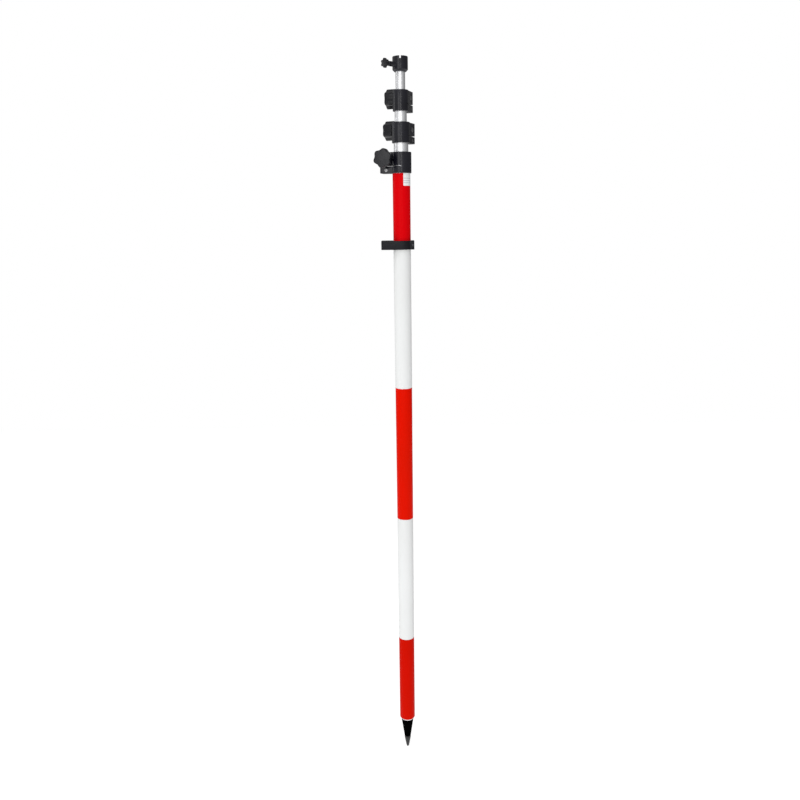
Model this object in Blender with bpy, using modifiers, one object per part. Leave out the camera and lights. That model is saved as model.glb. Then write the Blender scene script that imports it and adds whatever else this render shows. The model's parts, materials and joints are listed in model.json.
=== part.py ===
"""A telescopic surveying prism pole, closed, as separate pieces.

The origin is the end of the steel point. +Z runs up the pole, -Y is the front, where the knob of the
lowest clamp is, and +X is the side of the level bracket's clamp screw. Lengths are in metres.
"""

import math
from collections import namedtuple

import bmesh
import bpy
from mathutils import Matrix, Vector

MM = 0.001
SEGMENTS = 24
SMALL_SEGMENTS = 12
HEXAGON = 6
GAP = 0.3 * MM  # what is left between two pieces that touch

# The four tubes, from the outer one in
TUBE_RADII = (17.5 * MM, 14.5 * MM, 12.0 * MM, 9.5 * MM)
TUBE_WALL = 1.0 * MM
TRAVEL = 1140 * MM  # how far each section draws out
TUBE_FOOT = 86.5 * MM

# The coloured sleeves shrunk on the outer tube
SLEEVE_RADIUS = 17.9 * MM
SLEEVE_BORE = 17.6 * MM
BAND = 300 * MM

# The point and what carries it
POINT_HEIGHT = 31.0 * MM
POINT_RADIUS = 7.6 * MM
POINT_END_RADIUS = 1.5 * MM
POINT_NOSE_RADIUS = 3.3 * MM
POINT_NOSE_HEIGHT = 4.0 * MM
POINT_BAND = 4.0 * MM
POINT_STUD_RADIUS = 3.0 * MM
POINT_STUD_LENGTH = 16.0 * MM
HOLDER_TOP = 81.0 * MM
HOLDER_RADIUS = 14.5 * MM
HOLDER_BAND = 1.5 * MM
HOLDER_STUD_RADIUS = 6.0 * MM
HOLDER_STUD_LENGTH = 20.0 * MM
PLUG_NECK_RADIUS = 15.0 * MM
PLUG_FLANGE_GAP = 0.2 * MM
FOOT_ROUNDING = 2.0 * MM
FOOT_DROP = 0.5 * MM

# A clamp collar: its lower third grips its own tube, and the part above the saw cut grips the next
COLLAR_LOWER = 13.0 * MM
SAW_CUT = 2.0 * MM
SAW_REACH = 105.0  # degrees each way round from the ear
SPLIT = 2.5 * MM
EAR_HALF = 14.0 * MM
EAR_CORNER = 2.5 * MM
BOLT_RADIUS = 2.95 * MM
BOLT_END = 33.0 * MM
BOLT_HEAD_RADIUS = 5.7 * MM
BOLT_HEAD_HEIGHT = 4.0 * MM
PINCH_RADIUS = 1.95 * MM
PINCH_HEAD_RADIUS = 3.6 * MM
PINCH_HEAD_HEIGHT = 4.0 * MM
PINCH_KEY_RADIUS = 1.8 * MM
PINCH_KEY_DEPTH = 2.0 * MM
PINCH_NUT_RADIUS = 4.0 * MM
PINCH_NUT_HEIGHT = 3.2 * MM
PINCH_HEIGHT = 6.2 * MM
BITE = 1.0 * MM  # how far two solids that are joined into one overlap
PAST = 2.0 * MM  # how far a cut runs on past a face
WIDE = 30.0 * MM  # half the length of a cut right across a clamp

Lock = namedtuple("Lock", "number low high radius azimuth ear_end bolt_at pinch_at loose first_lobe")
LOCKS = (
    Lock(1, 1342.0 * MM, 1382.3 * MM, 20.5 * MM, 165.0, 41.0 * MM, 28.8 * MM, 27.4 * MM, 1.875 * MM, 20.0),
    Lock(2, 1399.7 * MM, 1438.7 * MM, 18.0 * MM, 66.0, 40.0 * MM, 28.5 * MM, 27.5 * MM, 7.5 * MM, 30.0),
    Lock(3, 1459.2 * MM, 1498.1 * MM, 15.5 * MM, 70.0, 36.0 * MM, 25.5 * MM, 24.5 * MM, 0.0, 30.0),
)

# A clamp knob: six lobes, a short hub, and a brass insert that runs on the bolt
KNOB_LOBES = 6
KNOB_TIP_RADIUS = 18.8 * MM
KNOB_VALLEY_RADIUS = 15.9 * MM
KNOB_HEIGHT = 22.2 * MM
KNOB_HUB_HEIGHT = 2.5 * MM
KNOB_HUB_RADIUS = 11.0 * MM
KNOB_BORE = 5.8 * MM
KNOB_COVER = 3.5 * MM
KNOB_EDGE = 1.6 * MM
INSERT_LENGTH = 14.0 * MM
WASHER_THICKNESS = 1.2 * MM
WASHER_RADIUS = 8.0 * MM

# The guide bush at the foot of each inner section
BUSH_FLANGE = 3.0 * MM
BUSH_LENGTH = 80.0 * MM
BUSH_WALL = 3.0 * MM
LAST_SPIGOT = 30.0 * MM

# The socket on top, and its thumb screw
SOCKET_LOW = 1531.5 * MM
SOCKET_HIGH = 1558.8 * MM
SOCKET_RADIUS = 15.2 * MM
SOCKET_CHAMFER = 3.5 * MM
SOCKET_BORE = 11.0 * MM
SOCKET_DEPTH = 18.5 * MM
SOCKET_FLOOR = 2.0 * MM
SOCKET_HOLE = 6.0 * MM
SOCKET_EDGE = 0.8 * MM
KEY_WIDTH = 3.0 * MM
KEY_DEPTH = 9.5 * MM
PIN_HEIGHT = 1536.4 * MM
PIN_RADIUS = 0.8 * MM
PIN_SHORT = 0.4 * MM
THUMB_AZIMUTH = 222.0
THUMB_HEIGHT = 1543.4 * MM
THUMB_BOSS_RADIUS = 4.7 * MM
THUMB_BOSS_START = 12.5 * MM
THUMB_BOSS_END = 28.0 * MM
THUMB_THREAD_START = 8.0 * MM
THUMB_STEM_RADIUS = 2.9 * MM
THUMB_STEM_START = 14.0 * MM
THUMB_PAD_RADIUS = 2.7 * MM
THUMB_PAD_START = 11.3 * MM
THUMB_HUB_RADIUS = 4.6 * MM
THUMB_HUB_START = 31.6 * MM
THUMB_HEAD_START = 36.0 * MM
THUMB_HEAD_END = 43.2 * MM
THUMB_COVER = 1.5 * MM
THUMB_STEM_SHORT = 2.0 * MM
THUMB_LOBES = 6
THUMB_TIP_RADIUS = 8.8 * MM
THUMB_VALLEY_RADIUS = 6.6 * MM

# The level bracket that rides on the coloured sleeves
BRACKET_LOW = 1191.7 * MM
BRACKET_HIGH = 1209.6 * MM
BRACKET_RADIUS = 21.5 * MM
BRACKET_BORE = 19.2 * MM
BRACKET_LEFT = -42.8 * MM
BRACKET_EAR_END = 25.0 * MM
BRACKET_EAR_HALF = 14.5 * MM
BRACKET_SPLIT = 2.0 * MM
BRACKET_CORNER = 4.0 * MM
BRACKET_SPLIT_START = 10.0 * MM
BRACKET_SCREW_AT = 21.6 * MM
BRACKET_SCREW_RADIUS = 1.4 * MM
BRACKET_HOLE_RADIUS = 1.7 * MM
BRACKET_HEAD_RADIUS = 2.6 * MM
BRACKET_HEAD_POCKET = 3.0 * MM
BRACKET_HEAD_DEPTH = 3.2 * MM
BRACKET_NUT_DEPTH = 2.6 * MM
BRACKET_KEY_DEPTH = 1.6 * MM
BRACKET_SCREW_SHORT = 0.4 * MM
LINER_BORE = 18.3 * MM
LINER_RADIUS = 18.9 * MM
VIAL_AT = -31.6 * MM
VIAL_POCKET = 9.6 * MM
VIAL_DEPTH = 11.0 * MM
CUP_GAP = 0.4 * MM
CUP_WALL = 1.4 * MM
CUP_FLOOR = 2.0 * MM
CUP_STAND = 0.5 * MM
GLASS_HEIGHT = 3.0 * MM
GLASS_RISE = (0.3 * MM, 1.2 * MM)
LEVEL_SCREW_CIRCLE = 5.6 * MM
LEVEL_SCREW_RADIUS = 1.2 * MM
LEVEL_HEAD_RADIUS = 2.0 * MM
LEVEL_HEAD_START = 0.4 * MM
LEVEL_HEAD_HEIGHT = 2.0 * MM

# The blank label on the top sleeve
LABEL_LOW = 1317.3 * MM
LABEL_HIGH = 1341.6 * MM
LABEL_START = 282.0  # degrees, round from +X
LABEL_SWEEP = 100.0
LABEL_INNER = 0.1 * MM
LABEL_OUTER = 0.2 * MM
SLEEVE_TOP_GAP = 0.4 * MM

RED = (0.72, 0.012, 0.012)
WHITE = (0.82, 0.82, 0.82)
BLACK = (0.030, 0.030, 0.034)
SILVER = (0.78, 0.79, 0.80)
STEEL = (0.50, 0.50, 0.51)
BRASS = (0.70, 0.50, 0.20)
NYLON = (0.75, 0.74, 0.70)

Finish = namedtuple("Finish", "colour roughness metallic")
RED_FILM = Finish(RED, 0.35, 0.0)
WHITE_FILM = Finish(WHITE, 0.40, 0.0)
PAPER = Finish((0.85, 0.86, 0.86), 0.50, 0.0)
BLACK_METAL = Finish(BLACK, 0.40, 0.6)
BLACK_PLASTIC = Finish(BLACK, 0.55, 0.0)
TUBE_METAL = Finish(SILVER, 0.28, 1.0)
BARE_STEEL = Finish(STEEL, 0.30, 1.0)
BARE_BRASS = Finish(BRASS, 0.35, 1.0)
BUSH_NYLON = Finish(NYLON, 0.50, 0.0)
LEVEL_FLUID = Finish((0.55, 0.80, 0.10), 0.10, 0.0)
LEVEL_GLASS = Finish((0.90, 0.95, 0.93), 0.05, 0.0)

MODEL = "prism_pole"
CUTTERS = "cutters"


def clear_scene():
    for old in list(bpy.data.objects):
        bpy.data.objects.remove(old)
    for name in (MODEL, CUTTERS):
        collection = bpy.data.collections.new(name)
        bpy.context.scene.collection.children.link(collection)


def place(obj, matrix):
    """Puts an object in the frame of its assembly, which is where its joint axis lies."""
    if matrix is not None:
        obj.matrix_world = matrix
    return obj


def finished(obj, finish):
    """Gives a piece its own material and puts it in the model's collection."""
    paint = bpy.data.materials.new(obj.name)
    paint.use_nodes = True
    shader = paint.node_tree.nodes["Principled BSDF"]
    shader.inputs["Base Color"].default_value = (*finish.colour, 1.0)
    shader.inputs["Roughness"].default_value = finish.roughness
    shader.inputs["Metallic"].default_value = finish.metallic
    obj.data.materials.append(paint)
    bpy.data.collections[MODEL].objects.link(obj)
    return obj


def turned_mesh(name, profile, segments, on_axis):
    """A profile of (radius, height) points, its outer side first and from the top down, turned about Z.

    A profile that starts and ends on the axis is open, and any other is a closed loop.
    """
    mesh = bpy.data.meshes.new(name)
    corners = [(radius, 0.0, height) for radius, height in profile]
    edges = [(i, i + 1) for i in range(len(corners) - 1)]
    if not on_axis:
        edges.append((len(corners) - 1, 0))
    mesh.from_pydata(corners, edges, [])
    obj = bpy.data.objects.new(name, mesh)
    screw = obj.modifiers.new("turn", "SCREW")
    screw.steps = segments
    screw.render_steps = segments
    screw.use_merge_vertices = True
    screw.merge_threshold = 0.00001
    screw.use_smooth_shade = False
    return obj


def turned(name, profile, finish, segments=SEGMENTS, matrix=None):
    on_axis = profile[0][0] == 0.0 and profile[-1][0] == 0.0
    return place(finished(turned_mesh(name, profile, segments, on_axis), finish), matrix)


def ring_profile(bore, radius, low, high):
    return [(radius, high), (radius, low), (bore, low), (bore, high)]


def disc_profile(radius, low, high):
    return [(0.0, high), (radius, high), (radius, low), (0.0, low)]


def arc_points(centre, radius, start, end, steps):
    """Points along an arc, its angles in degrees."""
    points = []
    for i in range(steps + 1):
        angle = math.radians(start + (end - start) * i / steps)
        points.append((centre[0] + radius * math.cos(angle), centre[1] + radius * math.sin(angle)))
    return points


def outline_object(name, outline, low, high):
    """A flat closed outline, filled and given its thickness along Z, as a mesh."""
    curve = bpy.data.curves.new(name, "CURVE")
    curve.dimensions = "2D"
    curve.fill_mode = "BOTH"
    curve.extrude = (high - low) / 2
    spline = curve.splines.new("POLY")
    spline.points.add(len(outline) - 1)
    for point, (x, y) in zip(spline.points, outline):
        point.co = (x, y, 0.0, 1.0)
    spline.use_cyclic_u = True
    flat = bpy.data.objects.new(name + "_outline", curve)
    bpy.context.scene.collection.objects.link(flat)
    graph = bpy.context.evaluated_depsgraph_get()
    mesh = bpy.data.meshes.new_from_object(flat.evaluated_get(graph))
    bpy.data.objects.remove(flat)
    shape = bmesh.new()
    shape.from_mesh(mesh)
    bmesh.ops.remove_doubles(shape, verts=shape.verts, dist=0.000001)
    bmesh.ops.translate(shape, verts=shape.verts, vec=(0.0, 0.0, (low + high) / 2))
    bmesh.ops.recalc_face_normals(shape, faces=shape.faces)
    shape.to_mesh(mesh)
    shape.free()
    mesh.name = name
    return bpy.data.objects.new(name, mesh)


def round_bar(name, radius, start, end, segments=SMALL_SEGMENTS, turn=0.0):
    """A cylinder, or a prism with few segments, from start to end."""
    start, end = Vector(start), Vector(end)
    along = end - start
    shape = bmesh.new()
    bmesh.ops.create_cone(
        shape, cap_ends=True, segments=segments, radius1=radius, radius2=radius, depth=along.length
    )
    twist = Matrix.Rotation(math.radians(turn), 4, "Z")
    aim = along.to_track_quat("Z", "Y").to_matrix().to_4x4()
    bmesh.ops.transform(shape, matrix=Matrix.Translation((start + end) / 2) @ aim @ twist, verts=shape.verts)
    mesh = bpy.data.meshes.new(name)
    shape.to_mesh(mesh)
    shape.free()
    return bpy.data.objects.new(name, mesh)


def block(name, low, high):
    low, high = Vector(low), Vector(high)
    shape = bmesh.new()
    size = Matrix.Diagonal((*(high - low), 1.0))
    bmesh.ops.create_cube(shape, size=1.0, matrix=Matrix.Translation((low + high) / 2) @ size)
    mesh = bpy.data.meshes.new(name)
    shape.to_mesh(mesh)
    shape.free()
    return bpy.data.objects.new(name, mesh)


def combine(target, tool, operation, matrix=None):
    """Cuts or joins the target with a tool, which stays as a hidden wire."""
    place(tool, matrix)
    tool.name = f"{target.name}_tool_{len(target.modifiers)}"
    bpy.data.collections[CUTTERS].objects.link(tool)
    tool.hide_render = True
    tool.display_type = "WIRE"
    change = target.modifiers.new(operation.lower(), "BOOLEAN")
    change.operation = operation
    change.solver = "EXACT"
    change.object = tool
    return target


def cut(target, tool, matrix=None):
    return combine(target, tool, "DIFFERENCE", matrix)


def join(target, tool, matrix=None):
    return combine(target, tool, "UNION", matrix)


def lobed_outline(lobes, tip, valley, first, points_per_lobe):
    """A wavy outline: its radius swings between tip and valley, with a tip at the angle first."""
    count = lobes * points_per_lobe
    middle, swing = (tip + valley) / 2, (tip - valley) / 2
    outline = []
    for i in range(count):
        angle = 2 * math.pi * i / count
        radius = middle + swing * math.cos(lobes * (angle - math.radians(first)))
        outline.append((radius * math.cos(angle), radius * math.sin(angle)))
    return outline


def bevelled(obj, width, segments):
    bevel = obj.modifiers.new("edge", "BEVEL")
    bevel.width = width
    bevel.segments = segments
    bevel.limit_method = "ANGLE"
    bevel.angle_limit = math.radians(60)
    return obj


# --- the outer tube, its sleeves and the point -------------------------------------------------


def tube_top(lock):
    """A tube ends under the shoulder inside the collar that it carries."""
    return lock.low + COLLAR_LOWER - GAP


def make_outer_tube():
    radius = TUBE_RADII[0]
    profile = ring_profile(radius - TUBE_WALL, radius, TUBE_FOOT, tube_top(LOCKS[0]))
    turned("outer_tube", profile, TUBE_METAL)


def make_sleeves():
    """Bands of 300 mm, counted from the tip of the point. The lowest turns in under the tube."""
    centre = (SLEEVE_RADIUS - FOOT_ROUNDING, TUBE_FOOT - FOOT_DROP)
    film = SLEEVE_RADIUS - SLEEVE_BORE
    foot = [(SLEEVE_RADIUS, BAND - GAP / 2)]
    foot += arc_points(centre, FOOT_ROUNDING, 0, -90, 3)
    foot += arc_points(centre, FOOT_ROUNDING - film, -90, 0, 3)
    foot.append((SLEEVE_BORE, BAND - GAP / 2))
    turned("red_foot_sleeve", foot, RED_FILM)
    bands = (
        ("lower_white_sleeve", 1, 2, WHITE_FILM),
        ("middle_red_sleeve", 2, 3, RED_FILM),
        ("upper_white_sleeve", 3, 4, WHITE_FILM),
    )
    for name, start, end, finish in bands:
        low, high = start * BAND + GAP / 2, end * BAND - GAP / 2
        turned(name, ring_profile(SLEEVE_BORE, SLEEVE_RADIUS, low, high), finish)
    top = LOCKS[0].low - SLEEVE_TOP_GAP
    turned("top_red_sleeve", ring_profile(SLEEVE_BORE, SLEEVE_RADIUS, 4 * BAND + GAP / 2, top), RED_FILM)


def make_label():
    """A thin blank label, wrapped part of the way round the top sleeve."""
    inner, outer = SLEEVE_RADIUS + LABEL_INNER, SLEEVE_RADIUS + LABEL_OUTER
    end = LABEL_START + LABEL_SWEEP
    outline = arc_points((0, 0), outer, LABEL_START, end, 16)
    outline += arc_points((0, 0), inner, end, LABEL_START, 16)
    finished(outline_object("blank_label", outline, LABEL_LOW, LABEL_HIGH), PAPER)


def make_point():
    """The bare plug pressed in the tube, the black holder screwed in it, and the steel point."""
    inside = TUBE_RADII[0] - TUBE_WALL - GAP
    centre = (SLEEVE_RADIUS - FOOT_ROUNDING, TUBE_FOOT - FOOT_DROP)
    film = SLEEVE_RADIUS - SLEEVE_BORE
    curve = arc_points(centre, FOOT_ROUNDING - film - GAP, 0, -90, 3)
    flange_top = TUBE_FOOT - PLUG_FLANGE_GAP
    stud_hole = HOLDER_STUD_RADIUS + GAP
    stud_top = HOLDER_TOP + HOLDER_STUD_LENGTH
    plug_top = bush_top(LOCKS[0]) - BUSH_LENGTH - 2 * GAP
    plug = [(0.0, plug_top), (inside, plug_top), (inside, flange_top)]
    plug += [(curve[0][0], flange_top)] + curve[1:]
    plug += [(PLUG_NECK_RADIUS, curve[-1][1]), (PLUG_NECK_RADIUS, HOLDER_TOP + GAP)]
    plug += [(stud_hole, HOLDER_TOP + GAP), (stud_hole, stud_top + GAP), (0.0, stud_top + GAP)]
    turned("foot_plug", plug, TUBE_METAL)

    point_hole = POINT_STUD_RADIUS + GAP
    stud_reach = POINT_HEIGHT + POINT_STUD_LENGTH
    holder = [(0.0, stud_top), (HOLDER_STUD_RADIUS, stud_top), (HOLDER_STUD_RADIUS, HOLDER_TOP)]
    holder += [(HOLDER_RADIUS, HOLDER_TOP), (HOLDER_RADIUS, HOLDER_TOP - HOLDER_BAND)]
    holder += [(POINT_RADIUS, POINT_HEIGHT + GAP), (point_hole, POINT_HEIGHT + GAP)]
    holder += [(point_hole, stud_reach + GAP), (0.0, stud_reach + GAP)]
    turned("point_holder", holder, BLACK_METAL)

    point = [(0.0, stud_reach), (POINT_STUD_RADIUS, stud_reach), (POINT_STUD_RADIUS, POINT_HEIGHT)]
    point += [(POINT_RADIUS, POINT_HEIGHT), (POINT_RADIUS, POINT_HEIGHT - POINT_BAND)]
    point += [(POINT_NOSE_RADIUS, POINT_NOSE_HEIGHT), (POINT_END_RADIUS, 0.0), (0.0, 0.0)]
    turned("steel_point", point, BARE_STEEL)


# --- the inner sections ------------------------------------------------------------------------


def bush_top(lock):
    """The bush meets the shoulder inside the collar when its section is fully drawn out."""
    return tube_top(lock) + GAP - TRAVEL


def make_inner_sections():
    """Each inner tube, and the bush that guides its foot and carries the section inside it."""
    tops = [tube_top(LOCKS[1]), tube_top(LOCKS[2]), SOCKET_HIGH - SOCKET_DEPTH - SOCKET_FLOOR - GAP]
    for index in (1, 2, 3):
        number = index + 1
        radius = TUBE_RADII[index]
        high = bush_top(LOCKS[index - 1]) - GAP
        low = high - BUSH_LENGTH
        foot = low + BUSH_FLANGE
        tube = turned(
            f"section_tube_{number}",
            ring_profile(radius - TUBE_WALL, radius, foot + GAP, tops[index - 1]),
            TUBE_METAL,
        )
        if number == 4:
            drill_ends = ((-WIDE, 0, PIN_HEIGHT), (WIDE, 0, PIN_HEIGHT))
            cut(tube, round_bar("pin_hole", PIN_RADIUS + GAP, *drill_ends))
        outside = TUBE_RADII[index - 1] - TUBE_WALL - GAP
        bore_of_sleeve = radius + GAP
        spigot = radius - TUBE_WALL - GAP
        spigot_top = foot + LAST_SPIGOT
        if number < 4:
            spigot_top = bush_top(LOCKS[index]) - BUSH_LENGTH - 2 * GAP
        profile = [(outside, high), (outside, low), (spigot - BUSH_WALL, low)]
        profile += [(spigot - BUSH_WALL, spigot_top), (spigot, spigot_top), (spigot, foot)]
        profile += [(bore_of_sleeve, foot), (bore_of_sleeve, high)]
        turned(f"guide_bush_{number}", profile, BUSH_NYLON)


# --- the clamps --------------------------------------------------------------------------------


def collar_outline(lock):
    """The ring, running into an ear along +X with small rounded corners."""
    start = math.degrees(math.asin(EAR_HALF / lock.radius))
    outline = arc_points((0, 0), lock.radius, start, 360 - start, 28)
    corner = lock.ear_end - EAR_CORNER
    side = EAR_HALF - EAR_CORNER
    outline += arc_points((corner, -side), EAR_CORNER, -90, 0, 3)
    outline += arc_points((corner, side), EAR_CORNER, 0, 90, 3)
    return outline


def make_collar(lock, frame):
    """The collar, in a frame whose +X points to the ear and +Y to the knob."""
    lower_bore = TUBE_RADII[lock.number - 1] + GAP
    upper_bore = TUBE_RADII[lock.number] + GAP
    shoulder = lock.low + COLLAR_LOWER
    bolt_height = (shoulder + SAW_CUT + lock.high) / 2
    pinch_height = lock.low + PINCH_HEIGHT
    beyond = lock.ear_end + PAST
    saw_back = lock.radius * math.cos(math.radians(SAW_REACH))
    collar = outline_object(f"lock_{lock.number}_collar", collar_outline(lock), lock.low, lock.high)
    finished(collar, BLACK_METAL)
    place(collar, frame)
    bolt_x, pinch_x = lock.bolt_at, lock.pinch_at
    bolt_seat = -EAR_HALF + BOLT_HEAD_HEIGHT + 2 * GAP
    pinch_seat = EAR_HALF - PINCH_HEAD_HEIGHT - GAP
    nut_seat = -EAR_HALF + PINCH_NUT_HEIGHT + GAP
    bolt_left, bolt_right = (bolt_x, -WIDE, bolt_height), (bolt_x, WIDE, bolt_height)
    pinch_left, pinch_right = (pinch_x, -WIDE, pinch_height), (pinch_x, WIDE, pinch_height)
    head_radius, nut_radius = BOLT_HEAD_RADIUS + 2 * GAP, PINCH_NUT_RADIUS + 2 * GAP
    tools = [
        round_bar("lower", lower_bore, (0, 0, lock.low - PAST), (0, 0, shoulder), SEGMENTS),
        round_bar("upper", upper_bore, (0, 0, shoulder - PAST), (0, 0, lock.high + PAST), SEGMENTS),
        block("split", (0, -SPLIT / 2, lock.low - PAST), (beyond, SPLIT / 2, lock.high + PAST)),
        block("saw", (saw_back, -WIDE, shoulder), (beyond, WIDE, shoulder + SAW_CUT)),
        round_bar("bolt", BOLT_RADIUS + GAP, bolt_left, bolt_right),
        round_bar("bolt_pocket", head_radius, bolt_left, (bolt_x, bolt_seat, bolt_height), HEXAGON),
        round_bar("pinch", PINCH_RADIUS + GAP, pinch_left, pinch_right),
        round_bar("pinch_head", PINCH_HEAD_RADIUS + GAP, (pinch_x, pinch_seat, pinch_height), pinch_right),
        round_bar("pinch_nut", nut_radius, pinch_left, (pinch_x, nut_seat, pinch_height), HEXAGON),
    ]
    for tool in tools:
        cut(collar, tool, frame)
    return bolt_height, pinch_height


def make_clamp_fasteners(lock, frame, bolt_height, pinch_height):
    """The hexagon bolt that the knob runs on, and the screw and nut that grip the collar's own tube."""
    name = f"lock_{lock.number}"
    x, z = lock.bolt_at, bolt_height
    head_inside = -EAR_HALF + BOLT_HEAD_HEIGHT
    bolt = round_bar(f"{name}_clamp_bolt", BOLT_HEAD_RADIUS, (x, -EAR_HALF, z), (x, head_inside, z), HEXAGON)
    place(finished(bolt, BARE_STEEL), frame)
    join(bolt, round_bar("shank", BOLT_RADIUS, (x, head_inside - BITE, z), (x, BOLT_END, z)), frame)

    x, z = lock.pinch_at, pinch_height
    head_back = EAR_HALF - PINCH_HEAD_HEIGHT
    screw = round_bar(f"{name}_pinch_screw", PINCH_HEAD_RADIUS, (x, EAR_HALF, z), (x, head_back, z))
    place(finished(screw, BARE_STEEL), frame)
    join(screw, round_bar("shank", PINCH_RADIUS, (x, head_back + BITE, z), (x, GAP - EAR_HALF, z)), frame)
    key_ends = ((x, EAR_HALF + PAST, z), (x, EAR_HALF - PINCH_KEY_DEPTH, z))
    cut(screw, round_bar("key", PINCH_KEY_RADIUS, *key_ends, HEXAGON), frame)

    ends = ((x, -EAR_HALF, z), (x, -EAR_HALF + PINCH_NUT_HEIGHT, z))
    nut = round_bar(f"{name}_pinch_nut", PINCH_NUT_RADIUS, *ends, HEXAGON)
    place(finished(nut, BARE_STEEL), frame)
    cut(nut, round_bar("thread", PINCH_RADIUS + GAP, (x, -EAR_HALF - PAST, z), (x, 0, z)), frame)


def make_knob(lock, frame, bolt_height):
    """The knob, its brass insert and its thrust washer, in a frame whose +Z is the bolt's axis."""
    name = f"lock_{lock.number}"
    turn = Matrix.Rotation(math.radians(-90), 4, "X")
    axis_frame = frame @ Matrix.Translation((lock.bolt_at, 0, bolt_height)) @ turn
    seat = EAR_HALF + GAP + lock.loose
    turned(
        f"{name}_thrust_washer",
        ring_profile(BOLT_RADIUS + GAP, WASHER_RADIUS, seat, seat + WASHER_THICKNESS),
        BARE_STEEL,
        matrix=axis_frame,
    )
    base = seat + WASHER_THICKNESS + GAP
    top = base + KNOB_HEIGHT
    outline = lobed_outline(KNOB_LOBES, KNOB_TIP_RADIUS, KNOB_VALLEY_RADIUS, lock.first_lobe, 8)
    knob = outline_object(f"{name}_knob", outline, base + KNOB_HUB_HEIGHT, top)
    place(finished(knob, BLACK_PLASTIC), axis_frame)
    bevelled(knob, KNOB_EDGE, 2)
    hub_profile = disc_profile(KNOB_HUB_RADIUS, base, base + KNOB_HUB_HEIGHT + KNOB_EDGE + BITE)
    join(knob, turned_mesh("hub", hub_profile, SEGMENTS, True), axis_frame)
    bore_end = top - KNOB_COVER
    cut(knob, round_bar("bore", KNOB_BORE, (0, 0, base - PAST), (0, 0, bore_end)), axis_frame)
    turned(
        f"{name}_knob_insert",
        ring_profile(BOLT_RADIUS + GAP, KNOB_BORE - GAP, base, base + INSERT_LENGTH),
        BARE_BRASS,
        SMALL_SEGMENTS,
        axis_frame,
    )


def make_locks():
    for lock in LOCKS:
        frame = Matrix.Rotation(math.radians(lock.azimuth), 4, "Z")
        bolt_height, pinch_height = make_collar(lock, frame)
        make_clamp_fasteners(lock, frame, bolt_height, pinch_height)
        make_knob(lock, frame, bolt_height)


# --- the socket on top -------------------------------------------------------------------------


def make_socket():
    """A socket for a target's spigot, with a key slot in its front rim and a boss for the thumb screw."""
    bore_low = SOCKET_HIGH - SOCKET_DEPTH
    tube_bore = TUBE_RADII[3] + GAP
    floor_low = bore_low - SOCKET_FLOOR
    profile = [(SOCKET_RADIUS - SOCKET_EDGE, SOCKET_HIGH), (SOCKET_RADIUS, SOCKET_HIGH - SOCKET_EDGE)]
    profile += [(SOCKET_RADIUS, SOCKET_LOW + SOCKET_CHAMFER), (SOCKET_RADIUS - SOCKET_CHAMFER, SOCKET_LOW)]
    profile += [(tube_bore, SOCKET_LOW), (tube_bore, floor_low), (SOCKET_HOLE, floor_low)]
    profile += [(SOCKET_HOLE, bore_low), (SOCKET_BORE, bore_low), (SOCKET_BORE, SOCKET_HIGH)]
    socket = turned("top_socket", profile, BLACK_METAL)
    aim = Matrix.Rotation(math.radians(THUMB_AZIMUTH), 4, "Z") @ Matrix.Translation((0, 0, THUMB_HEIGHT))
    join(socket, round_bar("boss", THUMB_BOSS_RADIUS, (THUMB_BOSS_START, 0, 0), (THUMB_BOSS_END, 0, 0)), aim)
    thread_ends = ((THUMB_THREAD_START, 0, 0), (THUMB_BOSS_END + PAST, 0, 0))
    cut(socket, round_bar("thread", THUMB_STEM_RADIUS + GAP, *thread_ends), aim)
    key_low = (-KEY_WIDTH / 2, -WIDE, SOCKET_HIGH - KEY_DEPTH)
    cut(socket, block("key", key_low, (KEY_WIDTH / 2, 0, SOCKET_HIGH + PAST)))
    drill_ends = ((-WIDE, 0, PIN_HEIGHT), (WIDE, 0, PIN_HEIGHT))
    cut(socket, round_bar("pin_hole", PIN_RADIUS + GAP, *drill_ends))
    reach = SOCKET_RADIUS - PIN_SHORT
    pin = round_bar("socket_pin", PIN_RADIUS, (-reach, 0, PIN_HEIGHT), (reach, 0, PIN_HEIGHT))
    finished(pin, BARE_STEEL)
    make_thumb_screw(aim @ Matrix.Rotation(math.radians(90), 4, "Y"))


def make_thumb_screw(outward):
    """The screw with its lobed head, and the soft pad at its end, in a frame whose +Z points outward."""
    pad_profile = disc_profile(THUMB_PAD_RADIUS, THUMB_PAD_START, THUMB_STEM_START - GAP)
    turned("thumb_pad", pad_profile, BARE_BRASS, SMALL_SEGMENTS, outward)
    stem_end = THUMB_HEAD_END - THUMB_STEM_SHORT
    stem_profile = disc_profile(THUMB_STEM_RADIUS, THUMB_STEM_START, stem_end)
    turned("thumb_stem", stem_profile, BARE_STEEL, SMALL_SEGMENTS, outward)
    outline = lobed_outline(THUMB_LOBES, THUMB_TIP_RADIUS, THUMB_VALLEY_RADIUS, 0, 8)
    head = outline_object("thumb_knob", outline, THUMB_HEAD_START, THUMB_HEAD_END)
    place(finished(head, BLACK_PLASTIC), outward)
    hub_profile = disc_profile(THUMB_HUB_RADIUS, THUMB_HUB_START, THUMB_HEAD_START + BITE)
    join(head, turned_mesh("hub", hub_profile, SEGMENTS, True), outward)
    bore_ends = ((0, 0, THUMB_HUB_START - PAST), (0, 0, THUMB_HEAD_END - THUMB_COVER))
    cut(head, round_bar("bore", THUMB_STEM_RADIUS + GAP, *bore_ends), outward)


# --- the level bracket -------------------------------------------------------------------------


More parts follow.
